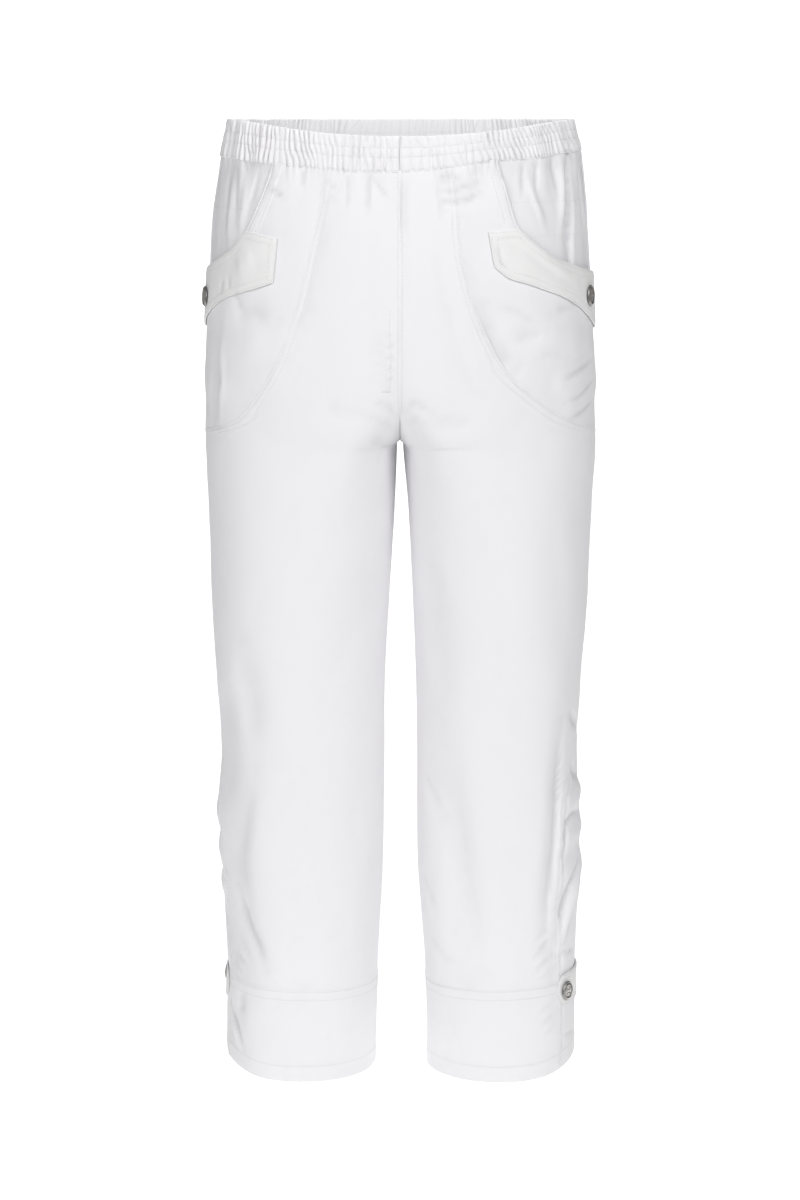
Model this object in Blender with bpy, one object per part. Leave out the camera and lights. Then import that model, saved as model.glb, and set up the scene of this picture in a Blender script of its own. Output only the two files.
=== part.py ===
"""Pull-on capri trousers in white cotton sateen, worn open and hollow.

The cloth follows one surface, lay(side, u, z, out).  side is +1 for the wearer's left (+X)
and -1 for the right.  u runs round one half of the garment: 0 is the centre front and, below
the crotch, the inseam; 0.5 is the side; 1 is the centre back and again the inseam.  z is the
height, with the waist at 0.  out is the distance from the middle of the body cloth, outwards.
Each cut piece is a closed wall over its own patch of that surface.
"""

import math
from collections import namedtuple

import bmesh
import bpy
import numpy as np

SIDES = {"left": 1, "right": -1}

# Cloth, seams and layers, in metres.
CLOTH = 0.0012
SEAM_GAP = 0.0003
HIP_SIDE_OUT = -0.0023
FLAP_CLOTH = 0.0014
FLAP_OUT = 0.0021
CUFF_CLOTH = 0.0016
CUFF_OUT = 0.0001
TAB_CLOTH = 0.0012
TAB_OUT = 0.0020
GIRTH_PER_U = 0.50

# The crotch: its height, how far above it the legs merge, and the round of the arch below it.
CROTCH_Z = -0.2885
CROTCH_RISE = 0.065
ARCH_HEIGHT = 0.004
MIN_COSINE = 0.01

# Heights between which two legs become one body, and the powers that square their corners.
MERGE_LOW = -0.40
MERGE_HIGH = -0.15
CORNER_LEG = 0.93
CORNER_BODY = 0.85

# Half widths from the middle plane and depths from it, at each height.
Section = namedtuple("Section", "z outer_right inner_right inner_left outer_left front back")
SECTIONS = [
    Section(0.010, 0.1500, 0.0032, 0.0032, 0.1520, 0.103, 0.104),
    Section(-0.035, 0.1595, 0.0032, 0.0032, 0.1630, 0.107, 0.110),
    Section(-0.072, 0.1670, 0.0032, 0.0032, 0.1680, 0.110, 0.117),
    Section(-0.126, 0.1720, 0.0032, 0.0032, 0.1712, 0.113, 0.125),
    Section(-0.200, 0.1755, 0.0032, 0.0032, 0.1745, 0.113, 0.130),
    Section(-0.254, 0.1760, 0.0032, 0.0032, 0.1760, 0.108, 0.127),
    Section(-0.290, 0.1765, 0.0032, 0.0032, 0.1775, 0.102, 0.118),
    Section(-0.346, 0.1745, 0.0051, 0.0078, 0.1755, 0.095, 0.106),
    Section(-0.440, 0.1727, 0.0106, 0.0125, 0.1727, 0.087, 0.093),
    Section(-0.515, 0.1697, 0.0144, 0.0153, 0.1679, 0.081, 0.086),
    Section(-0.580, 0.1667, 0.0148, 0.0163, 0.1652, 0.077, 0.082),
    Section(-0.630, 0.1697, 0.0154, 0.0164, 0.1670, 0.076, 0.081),
    Section(-0.687, 0.1668, 0.0164, 0.0174, 0.1668, 0.074, 0.079),
    Section(-0.745, 0.1617, 0.0193, 0.0212, 0.1645, 0.072, 0.075),
    Section(-0.785, 0.1611, 0.0213, 0.0241, 0.1640, 0.071, 0.073),
    Section(-0.824, 0.1624, 0.0223, 0.0258, 0.1652, 0.071, 0.071),
    Section(-0.895, 0.1629, 0.0242, 0.0262, 0.1652, 0.071, 0.071),
]

# Lower edge of the elastic waistband, and how deep the flutes under it are.
BandPoint = namedtuple("BandPoint", "u bottom_right bottom_left flute_right flute_left")
BAND_POINTS = [
    BandPoint(0.000, -0.0437, -0.0437, 0.0008, 0.0008),
    BandPoint(0.065, -0.0430, -0.0398, 0.0012, 0.0008),
    BandPoint(0.140, -0.0397, -0.0346, 0.0002, 0.0001),
    BandPoint(0.230, -0.0373, -0.0323, 0.0002, 0.0008),
    BandPoint(0.330, -0.0337, -0.0283, 0.0012, 0.0012),
    BandPoint(0.420, -0.0326, -0.0264, 0.0012, 0.0012),
    BandPoint(0.500, -0.0322, -0.0264, 0.0010, 0.0010),
    BandPoint(0.700, -0.0345, -0.0315, 0.0010, 0.0010),
    BandPoint(1.000, -0.0355, -0.0355, 0.0008, 0.0008),
]
FRONT_DIP = 0.0139
FRONT_DIP_END = 0.42
FRONT_DIP_POWER = 0.95
FLUTES = 12
FLUTE_FADE = 0.030

# The waistband: an elastic in a casing, gathered into waves and stitched along its middle.
BAND_WAVES = 68
BAND_INSIDE_OUT = -0.0017
BandRow = namedtuple("BandRow", "share out wave")
BAND_ROWS = [
    BandRow(0.00, -0.0002, 0.0005),
    BandRow(0.16, 0.0011, 0.0010),
    BandRow(0.50, 0.0006, 0.0006),
    BandRow(0.82, 0.0011, 0.0010),
    BandRow(1.00, 0.0001, 0.0006),
]

# Seams and edges drawn on the surface, as points (u, z).
PRINCESS = {
    "right": [(0.1125, -0.0400), (0.1138, -0.0603), (0.132, -0.1166), (0.154, -0.1612),
              (0.2105, -0.2198), (0.292, -0.2587), (0.488, -0.2818)],
    "left": [(0.0716, -0.0385), (0.0780, -0.0700), (0.0826, -0.1120), (0.1142, -0.1740),
             (0.1732, -0.2210), (0.2913, -0.2578), (0.488, -0.2816)],
}
OPENING = {
    "right": [(0.225, -0.0373), (0.241, -0.067), (0.277, -0.098), (0.307, -0.1096),
              (0.353, -0.119), (0.419, -0.1273), (0.500, -0.134)],
    "left": [(0.152, -0.0340), (0.171, -0.069), (0.192, -0.0953), (0.216, -0.104),
             (0.261, -0.117), (0.333, -0.1267), (0.500, -0.137)],
}
FLAP_TOP = {
    "right": [(0.195, -0.1032), (0.232, -0.1000), (0.276, -0.0985), (0.308, -0.1105),
              (0.354, -0.1198), (0.420, -0.1280), (0.500, -0.1350), (0.570, -0.1420)],
    "left": [(0.129, -0.0967), (0.155, -0.0960), (0.190, -0.0958), (0.217, -0.1047),
             (0.262, -0.1175), (0.334, -0.1274), (0.500, -0.1377), (0.570, -0.1440)],
}
FLAP_BOTTOM = {
    "right": [(0.200, -0.1415), (0.232, -0.1460), (0.268, -0.1502), (0.302, -0.1535),
              (0.335, -0.1572), (0.400, -0.1680), (0.500, -0.1860), (0.570, -0.1860)],
    "left": [(0.139, -0.1270), (0.165, -0.1368), (0.205, -0.1425), (0.235, -0.1468),
             (0.268, -0.1512), (0.330, -0.1600), (0.500, -0.1880), (0.570, -0.1880)],
}
SIDE_SEAM = {
    "right": [(0.500, -0.290), (0.487, -0.500), (0.465, -0.640), (0.450, -0.760),
              (0.442, -0.800), (0.450, -0.840), (0.450, -0.900)],
    "left": [(0.500, -0.290), (0.487, -0.440), (0.460, -0.530), (0.433, -0.584),
             (0.394, -0.612), (0.380, -0.660), (0.374, -0.730), (0.381, -0.800),
             (0.384, -0.900)],
}
HIP_END_Z = -0.2835
FLAP_END_TAPER = 0.6

# Cuffs and hem.
CUFF_TOP_INSEAM = -0.7965
CUFF_TOP_SIDE = -0.7910
HEM_Z = -0.8812
HEM_LIFT = 0.0127
HEM_LIFT_U = 0.47
HEM_LIFT_SPREAD = 0.115
VENT_GAP = {"right": 0.0016, "left": 0.0}
VENT_TOP = -0.785
VENT_END = -0.850
VENT_SHARPNESS = 8

# Tabs that come round from the back over the cuff seam, and the four metal buttons.
Tab = namedtuple("Tab", "tip_u z half_height length")
TABS = {
    "right": Tab(0.450, -0.8000, 0.0150, 0.062),
    "left": Tab(0.366, -0.7995, 0.0150, 0.082),
}
Button = namedtuple("Button", "name side layer u z radius seat")
BUTTONS = [
    Button("flap_button_right", -1, "pocket", 0.440, -0.1575, 0.0092, FLAP_OUT + FLAP_CLOTH / 2),
    Button("flap_button_left", 1, "pocket", 0.411, -0.1560, 0.0092, FLAP_OUT + FLAP_CLOTH / 2),
    Button("tab_button_right", -1, "body", 0.534, -0.8000, 0.0085, TAB_OUT + TAB_CLOTH / 2),
    Button("tab_button_left", 1, "body", 0.396, -0.8005, 0.0085, TAB_OUT + TAB_CLOTH / 2),
]
BUTTON_SIDES = 20
BUTTON_SEAT_GAP = 0.0003
PETALS = 4
PETAL_RELIEF = 0.0006
ButtonRing = namedtuple("ButtonRing", "radius height petal")
BUTTON_RINGS = [
    ButtonRing(0.60, 0.0000, 0.0),
    ButtonRing(1.00, 0.0012, 0.0),
    ButtonRing(0.95, 0.0026, 0.0),
    ButtonRing(0.80, 0.0030, 0.0),
    ButtonRing(0.70, 0.0020, 0.0),
    ButtonRing(0.45, 0.0022, 1.0),
    ButtonRing(0.18, 0.0026, 0.4),
]

# The largest folds: ridges (height above 0) and troughs along a line from one place to another.
Fold = namedtuple("Fold", "side layer u_start z_start u_end z_end width height")
FOLDS = [
    Fold(-1, "body", 0.030, -0.262, 0.105, -0.252, 0.011, -0.0016),
    Fold(1, "body", 0.030, -0.258, 0.110, -0.264, 0.011, -0.0018),
    Fold(-1, "body", 0.965, -0.262, 0.880, -0.285, 0.014, -0.0020),
    Fold(1, "body", 0.965, -0.258, 0.885, -0.290, 0.014, -0.0020),
    Fold(-1, "body", 0.335, -0.560, 0.300, -0.770, 0.024, 0.0020),
    Fold(-1, "body", 0.425, -0.540, 0.385, -0.760, 0.022, -0.0026),
    Fold(-1, "body", 0.100, -0.420, 0.200, -0.520, 0.028, -0.0018),
    Fold(1, "body", 0.085, -0.450, 0.110, -0.600, 0.024, -0.0022),
    Fold(1, "body", 0.110, -0.640, 0.170, -0.780, 0.024, -0.0028),
    Fold(1, "body", 0.330, -0.500, 0.315, -0.700, 0.030, 0.0016),
    Fold(-1, "body", 0.620, -0.430, 0.680, -0.560, 0.026, -0.0022),
    Fold(1, "body", 0.620, -0.420, 0.690, -0.560, 0.026, -0.0022),
    Fold(-1, "body", 0.840, -0.560, 0.740, -0.640, 0.020, -0.0024),
    Fold(1, "body", 0.850, -0.550, 0.740, -0.630, 0.020, -0.0024),
    Fold(1, "body", 0.402, -0.623, 0.475, -0.616, 0.010, 0.0026),
    Fold(1, "body", 0.392, -0.655, 0.470, -0.650, 0.010, 0.0026),
    Fold(1, "body", 0.395, -0.690, 0.470, -0.684, 0.011, 0.0026),
    Fold(1, "body", 0.445, -0.712, 0.392, -0.768, 0.010, 0.0028),
    Fold(-1, "body", 0.470, -0.640, 0.535, -0.634, 0.010, 0.0020),
    Fold(-1, "body", 0.468, -0.674, 0.530, -0.668, 0.010, 0.0022),
    Fold(-1, "body", 0.466, -0.708, 0.530, -0.702, 0.011, 0.0022),
    Fold(-1, "body", 0.505, -0.728, 0.462, -0.772, 0.010, 0.0022),
    Fold(1, "pocket", 0.240, -0.196, 0.440, -0.204, 0.011, 0.0016),
    Fold(1, "pocket", 0.300, -0.230, 0.445, -0.222, 0.011, 0.0020),
    Fold(1, "pocket", 0.330, -0.250, 0.470, -0.236, 0.012, 0.0020),
    Fold(-1, "pocket", 0.240, -0.200, 0.400, -0.210, 0.014, 0.0014),
    Fold(-1, "pocket", 0.345, -0.240, 0.460, -0.232, 0.014, 0.0016),
]

# Rows and columns of the walls.
HIP_ROWS = 14
CROTCH_STEPS = 6
ARCH_STEPS = 3
THIGH_ROWS = 8
CALF_ROWS = 11
CALF_TOP = -0.590
FRONT_COLUMNS = 9
HIP_COLUMNS = 12
POCKET_COLUMNS = 9
BACK_COLUMNS = 14
FLAP_COLUMNS = 11
FLAP_ROWS = 4
CUFF_COLUMNS = 10
CUFF_ROWS = 4
TAB_ROWS = 4
TAB_TIP_DEGREES = (15, 40, 65, 90)
TAB_STEPS = 4
PROBE = 0.0005
SHARP_EDGE = math.radians(45)

SATEEN = {"color": (0.86, 0.86, 0.87, 1.0), "roughness": 0.72, "metallic": 0.0}
ELASTIC_CASING = {"color": (0.87, 0.87, 0.88, 1.0), "roughness": 0.75, "metallic": 0.0}
TRIM = {"color": (0.85, 0.845, 0.83, 1.0), "roughness": 0.74, "metallic": 0.0}
DARK_SILVER = {"color": (0.30, 0.29, 0.28, 1.0), "roughness": 0.36, "metallic": 1.0}


def smooth_through(places, values, at):
    """Read a smooth curve through (places, values) at the given places."""
    order = np.argsort(places)
    x = np.asarray(places, float)[order]
    y = np.asarray(values, float)[order]
    slope = np.gradient(y, x)
    i = np.clip(np.searchsorted(x, at) - 1, 0, len(x) - 2)
    h = x[i + 1] - x[i]
    t = np.clip((at - x[i]) / h, 0.0, 1.0)
    start = (1 + 2 * t) * (1 - t) ** 2 * y[i] + t * (1 - t) ** 2 * h * slope[i]
    end = t * t * (3 - 2 * t) * y[i + 1] + t * t * (t - 1) * h * slope[i + 1]
    return start + end


def table_value(table, key, column, at):
    """Read one named column of a table at the given places of its key column."""
    places = [getattr(row, key) for row in table]
    values = [getattr(row, column) for row in table]
    return smooth_through(places, values, at)


def side_name(side):
    """Name the wearer's side."""
    return "left" if side > 0 else "right"


def merging(z):
    """Tell how far the two legs have become one body: 0 on the legs, 1 on the hips."""
    share = np.clip((z - MERGE_LOW) / (MERGE_HIGH - MERGE_LOW), 0.0, 1.0)
    return share * share * (3 - 2 * share)


def section_angle(half_u, inner_run, outer_run, start):
    """Turn u into the section's angle, so that u covers the cloth about evenly."""
    turn = 0.5 * inner_run / (inner_run + outer_run)
    turn = np.maximum(turn, MIN_COSINE ** 2)
    inner = start + (math.pi / 2 - start) * np.minimum(half_u / turn, 1.0)
    outer = math.pi / 2 * (1 + np.clip((half_u - turn) / (0.5 - turn), 0.0, 1.0))
    return np.where(half_u < turn, inner, outer)


def body(side, u, z):
    """Give the unfolded cloth's middle surface: one ring at the hips, one for each leg.

    A section is an outer half ellipse about the leg's middle, and an inner arc from there to
    the inseam or, above the crotch, to the centre seam.  Its corners are slightly squared.
    """
    u, z = np.broadcast_arrays(np.asarray(u, float), np.asarray(z, float))
    name = side_name(side)
    outer = table_value(SECTIONS, "z", "outer_" + name, z)
    inner = table_value(SECTIONS, "z", "inner_" + name, z)
    depth = np.where(u <= 0.5, table_value(SECTIONS, "z", "front", z),
                     table_value(SECTIONS, "z", "back", z))
    below = np.clip((CROTCH_Z - z) / ARCH_HEIGHT, 0.0, 1.0)
    arch = inner * np.sqrt(1 - (1 - below) ** 2)
    corner = CORNER_LEG + (CORNER_BODY - CORNER_LEG) * merging(z)
    middle = (outer + inner) / 2 * (1 - merging(z))

    rise = np.clip((z - CROTCH_Z) / CROTCH_RISE, 0.0, 1.0)
    start_cosine = np.maximum(1 - rise, MIN_COSINE)
    start = np.arccos(start_cosine)
    inner_half = np.where(z < CROTCH_Z, middle - arch, middle / start_cosine ** corner)
    inner_run = np.hypot(middle - arch, depth * (1 - np.sin(start) ** corner))
    outer_run = math.pi / 2 * np.hypot(outer - middle, depth) / math.sqrt(2)
    angle = section_angle(np.where(u <= 0.5, u, 1 - u), inner_run, outer_run, start)

    cosine = np.cos(angle)
    half = np.where(cosine > 0, inner_half, outer - middle)
    x = middle - half * np.sign(cosine) * np.abs(cosine) ** corner
    y = depth * np.abs(np.sin(angle)) ** corner * np.where(u <= 0.5, -1, 1)
    return np.stack([side * np.maximum(x, 0.0), y, z], axis=-1)


def outward(side, u, z):
    """Give the surface's unit normal, pointing out of the garment."""
    around = body(side, np.minimum(u + PROBE, 1.0), z) - body(side, np.maximum(u - PROBE, 0.0), z)
    down = body(side, u, z - PROBE) - body(side, u, z + PROBE)
    normal = side * np.cross(down, around)
    return normal / np.linalg.norm(normal, axis=-1, keepdims=True)


def fold_height(side, layer, u, z):
    """Add up the soft ridges and troughs of one layer at the places (u, z)."""
    height = np.zeros(np.shape(u))
    for fold in FOLDS:
        if fold.side != side or fold.layer != layer:
            continue
        run_u = (fold.u_end - fold.u_start) * GIRTH_PER_U
        run_z = fold.z_end - fold.z_start
        from_u = (u - fold.u_start) * GIRTH_PER_U
        from_z = z - fold.z_start
        along = (from_u * run_u + from_z * run_z) / (run_u ** 2 + run_z ** 2)
        along = np.clip(along, 0.0, 1.0)
        distance = np.hypot(from_u - along * run_u, from_z - along * run_z)
        height += fold.height * np.exp(-(distance / fold.width) ** 2)
    return height


def band_bottom(side, u):
    """Give the height of the waistband's lower edge."""
    return table_value(BAND_POINTS, "u", "bottom_" + side_name(side), u)


def band_top(u):
    """Give the height of the waistband's upper edge, which dips at the centre front."""
    reach = np.clip(u / FRONT_DIP_END, 0.0, 1.0) ** FRONT_DIP_POWER
    return -FRONT_DIP * np.cos(reach * math.pi / 2) ** 2


def flute_height(side, u, z):
    """Give the soft flutes that hang from the gathered waistband and fade below it."""
    depth = table_value(BAND_POINTS, "u", "flute_" + side_name(side), u)
    drop = np.maximum(band_bottom(side, u) - z, 0.0)
    return depth * np.exp(-drop / FLUTE_FADE) * np.cos(2 * math.pi * FLUTES * u)


def lay(side, u, z, out, layer="body"):
    """Give the point at (u, z) of the draped cloth, moved outwards by out."""
    lift = out + fold_height(side, "body", u, z) + flute_height(side, u, z)
    if layer != "body":
        lift = lift + fold_height(side, layer, u, z)
    points = body(side, u, z) + outward(side, u, z) * np.asarray(lift)[..., None]
    points[..., 0] = side * np.maximum(side * points[..., 0], 0.0)
    return points


def drawn_curve(points, count):
    """Draw a smooth curve through points (u, z) and read it at evenly spaced places."""
    points = np.array(points, float)
    steps = np.hypot(np.diff(points[:, 0]) * GIRTH_PER_U, np.diff(points[:, 1]))
    length = np.concatenate([[0.0], np.cumsum(steps)])
    at = np.linspace(0.0, length[-1], count)
    u = smooth_through(length, points[:, 0], at)
    z = smooth_through(length, points[:, 1], at)
    return np.stack([u, z], axis=-1)


def ruled(edge_a, edge_b, columns):
    """Fill the patch between two edges of as many points with straight rows in (u, z)."""
    share = np.linspace(0.0, 1.0, columns)[None, :, None]
    return edge_a[:, None, :] * (1 - share) + edge_b[:, None, :] * share


def side_seam(side, z):
    """Give the side seam's points at the heights z."""
    points = np.array(SIDE_SEAM[side_name(side)])
    u = smooth_through(points[:, 1], points[:, 0], np.clip(z, points[-1, 1], points[0, 1]))
    return np.stack([u, z], axis=-1)


def crotch_heights():
    """Give the centre seam's heights on its curve down to the crotch, lowest last."""
    angle = np.linspace(math.pi / 2, 0.0, CROTCH_STEPS + 1)
    return CROTCH_Z + CROTCH_RISE * (1 - np.cos(angle))


def centre_seam(at_u, top, rows):
    """Give the points of the centre seam from the waistband down to the crotch."""
    crotch = crotch_heights()
    upper = np.linspace(top, crotch[0], rows - CROTCH_STEPS)
    z = np.concatenate([upper, crotch[1:]])
    return np.stack([np.full(len(z), at_u), z], axis=-1)


def inseam(at_u):
    """Give the points of the inseam from just under the crotch to the cuff."""
    angle = np.linspace(0.0, math.pi / 2, ARCH_STEPS + 1)[1:]
    arch = CROTCH_Z - ARCH_HEIGHT * (1 - np.cos(angle))
    thigh = np.linspace(arch[-1], CALF_TOP, THIGH_ROWS + 1)[1:]
    calf = np.linspace(CALF_TOP, CUFF_TOP_INSEAM, CALF_ROWS + 1)[1:]
    z = np.concatenate([arch, thigh, calf])
    return np.stack([np.full(len(z), at_u), z], axis=-1)


def hip_side_heights(side):
    """Give the heights of the side seam's points on the hip."""
    return np.linspace(band_bottom(side, 0.5), HIP_END_Z, HIP_ROWS)


def leg_side_heights():
    """Give the heights of the side seam's points on the leg, as many as the inseam has."""
    thigh = np.linspace(HIP_END_Z, CALF_TOP, ARCH_STEPS + THIGH_ROWS + 1)[1:]
    calf = np.linspace(CALF_TOP, CUFF_TOP_SIDE, CALF_ROWS + 1)[1:]
    return np.concatenate([thigh, calf])


def hang_from_band(side, patch):
    """Set a patch's first row along the lower edge of the waistband."""
    patch[0, :, 1] = band_bottom(side, patch[0, :, 0])
    return patch


def front_patch(side):
    """Give the front's patch: centre front to princess seam, then inseam to side seam."""
    princess = drawn_curve(PRINCESS[side_name(side)], HIP_ROWS)
    hip_corner = side_seam(side, np.array([HIP_END_Z]))
    leg_side = side_seam(side, leg_side_heights())
    centre = centre_seam(0.0, band_bottom(side, 0.0), HIP_ROWS + 1)
    edge_a = np.concatenate([centre, inseam(0.0)])
    edge_b = np.concatenate([princess, hip_corner, leg_side])
    return hang_from_band(side, ruled(edge_a, edge_b, FRONT_COLUMNS))


def back_patch(side):
    """Give the back's patch: side seam to centre back, then side seam to inseam."""
    hip_side = side_seam(side, hip_side_heights(side))
    leg_side = side_seam(side, leg_side_heights())
    centre = centre_seam(1.0, band_bottom(side, 1.0), HIP_ROWS)
    edge_a = np.concatenate([hip_side, leg_side])
    edge_b = np.concatenate([centre, inseam(1.0)])
    return hang_from_band(side, ruled(edge_a, edge_b, BACK_COLUMNS))


def hip_side_patch(side):
    """Give the patch of the hip side, which backs the pocket: princess seam to side seam."""
    princess = drawn_curve(PRINCESS[side_name(side)], HIP_ROWS)
    seam = side_seam(side, hip_side_heights(side))
    return hang_from_band(side, ruled(princess, seam, HIP_COLUMNS))


def pocket_patch(side):
    """Give the pocket's patch: princess seam to the curved opening and the side seam."""
    princess = drawn_curve(PRINCESS[side_name(side)], HIP_ROWS)
    half = HIP_ROWS // 2
    opening = drawn_curve(OPENING[side_name(side)], half + 1)
    low = np.linspace(opening[-1, 1], HIP_END_Z, HIP_ROWS - half)[1:]
    edge_b = np.concatenate([opening, side_seam(side, low)])
    return hang_from_band(side, ruled(princess, edge_b, POCKET_COLUMNS))


def flap_patch(side):
    """Give the pocket flap's patch, from its front end round the side to its back end."""
    name = side_name(side)
    top = drawn_curve(FLAP_TOP[name], FLAP_COLUMNS)
    bottom = drawn_curve(FLAP_BOTTOM[name], FLAP_COLUMNS)
    patch = ruled(top, bottom, FLAP_ROWS)
    middle = patch[-1].mean(axis=0)
    patch[-1, :, 1] = middle[1] + (patch[-1, :, 1] - middle[1]) * FLAP_END_TAPER
    return patch


def hem_height(u):
    """Give the hem's height, a little higher at the side."""
    return HEM_Z + HEM_LIFT * np.exp(-((u - HEM_LIFT_U) / HEM_LIFT_SPREAD) ** 2)


def cuff_patch(side, face):
    """Give the patch of a cuff's front or back half, from the leg's lower edge to the hem."""
    name = side_name(side)
    share = np.linspace(0.0, 1.0, CUFF_ROWS)[:, None]
    seam_top = side_seam(side, np.array([CUFF_TOP_SIDE]))[0, 0]
    seam_column = 0 if face == "back" else -1
    top_u = np.linspace(0.0, seam_top, CUFF_COLUMNS)
    if face == "back":
        top_u = np.linspace(seam_top, 1.0, CUFF_COLUMNS)
    nearness = 1 - np.abs(top_u - seam_top) / abs(top_u[-1] - top_u[0])
    top_z = CUFF_TOP_INSEAM + (CUFF_TOP_SIDE - CUFF_TOP_INSEAM) * nearness
    z = top_z * (1 - share) + hem_height(top_u) * share
    shift = side_seam(side, z[:, seam_column])[:, :1] - seam_top
    u = top_u + shift * nearness
    if face == "back":
        open_share = np.clip((z - VENT_END) / (VENT_TOP - VENT_END), 0.0, 1.0)
        u = u + VENT_GAP[name] / GIRTH_PER_U * open_share * nearness ** VENT_SHARPNESS
    return np.stack([u, z], axis=-1)


def tab_patch(side):
    """Give a tab's patch, with a round tip to the front and a straight end at the back."""
    tab = TABS[side_name(side)]
    tip = tab.half_height * (1 - np.cos(np.radians(TAB_TIP_DEGREES)))
    rest = np.linspace(tab.half_height, tab.length, TAB_STEPS + 1)[1:]
    along = np.concatenate([tip, rest])
    inset = 1 - np.clip(along / tab.half_height, 0.0, 1.0)
    half = tab.half_height * np.sqrt(1 - inset ** 2)
    across = np.linspace(1.0, -1.0, TAB_ROWS)
    u = np.repeat((tab.tip_u + along / GIRTH_PER_U)[:, None], TAB_ROWS, axis=1)
    z = tab.z + half[:, None] * across[None, :]
    return np.stack([u, z], axis=-1)


def square_step(edge, normal, towards):
    """Give unit steps along the cloth, square to the edge's segments, on towards' side."""
    step = np.cross(edge, normal)
    step /= np.linalg.norm(step, axis=-1, keepdims=True)
    return step * np.sign(np.sum(step * towards, axis=-1, keepdims=True))


def border_places(rows, columns):
    """Give the rows and columns of the points round a grid's border, in order."""
    across = np.arange(columns)
    down = np.arange(1, rows - 1)
    row = np.concatenate([0 * across, down, 0 * across + rows - 1, down[::-1]])
    column = np.concatenate([across, 0 * down + columns - 1, across[::-1], 0 * down])
    return row, column


def draw_in(grid, normals, distance):
    """Pull a grid's border inwards, square to its segments, which leaves the gap at its seams."""
    rows, columns = grid.shape[:2]
    row, column = border_places(rows, columns)
    border = grid[row, column]
    inside = grid[np.clip(row, 1, rows - 2), np.clip(column, 1, columns - 2)] - border
    normal = normals[row, column]
    before = square_step(border - np.roll(border, 1, axis=0), normal, inside)
    after = square_step(np.roll(border, -1, axis=0) - border, normal, inside)
    mitre = before + after
    mitre /= np.maximum(np.sum(mitre * before, axis=-1, keepdims=True), 0.5)
    pulled = grid.copy()
    pulled[row, column] += distance * mitre
    return pulled


def make_material(name, finish):
    """Make a Principled material with the given colour, roughness and metallic value."""
    material = bpy.data.materials.new(name)
    material.use_nodes = True
    shader = material.node_tree.nodes["Principled BSDF"]
    shader.inputs["Base Color"].default_value = finish["color"]
    shader.inputs["Roughness"].default_value = finish["roughness"]
    shader.inputs["Metallic"].default_value = finish["metallic"]
    material.diffuse_color = finish["color"]
    return material


def add_object(name, points, faces, finish):
    """Add one closed, smooth mesh object with its own material, faces pointing out."""
    mesh = bpy.data.meshes.new(name)
    mesh.from_pydata([tuple(point) for point in points], [], faces)
    shape = bmesh.new()
    shape.from_mesh(mesh)
    bmesh.ops.recalc_face_normals(shape, faces=shape.faces)
    shape.to_mesh(mesh)
    shape.free()
    mesh.shade_smooth()
    mesh.set_sharp_from_angle(angle=SHARP_EDGE)
    thing = bpy.data.objects.new(name, mesh)
    bpy.context.scene.collection.objects.link(thing)
    mesh.materials.append(make_material(name + "_finish", finish))
    return thing


def grid_faces(rows, columns, start, flip):
    """List the quads of a grid whose points start at the given index."""
    faces = []
    for i in range(rows - 1):
        for j in range(columns - 1):
            a = start + i * columns + j
            quad = (a, a + 1, a + columns + 1, a + columns)
            faces.append(quad[::-1] if flip else quad)
    return faces


def close_wall(name, outer, inner, finish):
    """Join an outer and an inner grid of the same size into one closed wall."""
    rows, columns = outer.shape[:2]
    size = rows * columns
    points = np.concatenate([outer.reshape(-1, 3), inner.reshape(-1, 3)])
    faces = grid_faces(rows, columns, 0, False)
    faces += grid_faces(rows, columns, size, True)
    row, column = border_places(rows, columns)
    border = [int(index) for index in row * columns + column]
    for here, there in zip(border, border[1:] + border[:1]):
        faces.append((there, here, here + size, there + size))
    return add_object(name, points, faces, finish)


def sew_panel(name, side, patch, out, cloth, finish, layer="body"):
    """Make one cut piece: a wall of the given thickness over a patch of the surface."""
    walls = []
    normals = outward(side, patch[..., 0], patch[..., 1])
    for face_out in (out + cloth / 2, out - cloth / 2):
        grid = lay(side, patch[..., 0], patch[..., 1], face_out, layer)
        grid = draw_in(grid, normals, SEAM_GAP / 2)
        grid[..., 0] = side * np.maximum(side * grid[..., 0], SEAM_GAP / 2)
        walls.append(grid)
    return close_wall(name, walls[0], walls[1], finish)


def sew_waistband(name, side):
    """Make one half of the gathered waistband, waved outside and plain inside."""
    columns = 2 * BAND_WAVES + 1
    u = np.linspace(0.0, 1.0, columns)
    wave = np.where(np.arange(columns) % 2 == 0, -1.0, 1.0)
    top = band_top(u)
    bottom = band_bottom(side, u)
    share = np.array([row.share for row in BAND_ROWS])[:, None]
    out = np.array([row.out for row in BAND_ROWS])[:, None]
    height = np.array([row.wave for row in BAND_ROWS])[:, None]
    z = top + (bottom - top) * share
    u = np.broadcast_to(u, z.shape)
    normals = outward(side, u, z)
    outer = draw_in(lay(side, u, z, out + height * wave), normals, SEAM_GAP / 2)
    inner = draw_in(lay(side, u, z, BAND_INSIDE_OUT), normals, SEAM_GAP / 2)
    for grid in (outer, inner):
        grid[..., 0] = side * np.maximum(side * grid[..., 0], SEAM_GAP / 2)
    return close_band(name, outer, inner[[0, -1]])


def close_band(name, outer, inner):
    """Join the waved outside to an inside that has only a top and a bottom row."""
    rows, columns = outer.shape[:2]
    size = rows * columns
    points = np.concatenate([outer.reshape(-1, 3), inner.reshape(-1, 3)])
    faces = grid_faces(rows, columns, 0, False)
    faces += grid_faces(2, columns, size, True)
    last = (rows - 1) * columns
    for j in range(columns - 1):
        faces.append((j + 1, j, size + j, size + j + 1))
        faces.append((last + j, last + j + 1, size + columns + j + 1, size + columns + j))
    for j in (0, columns - 1):
        end = [i * columns + j for i in range(rows)]
        end += [size + columns + j, size + j]
        faces.append(tuple(end))
    return add_object(name, points, faces, ELASTIC_CASING)


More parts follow.
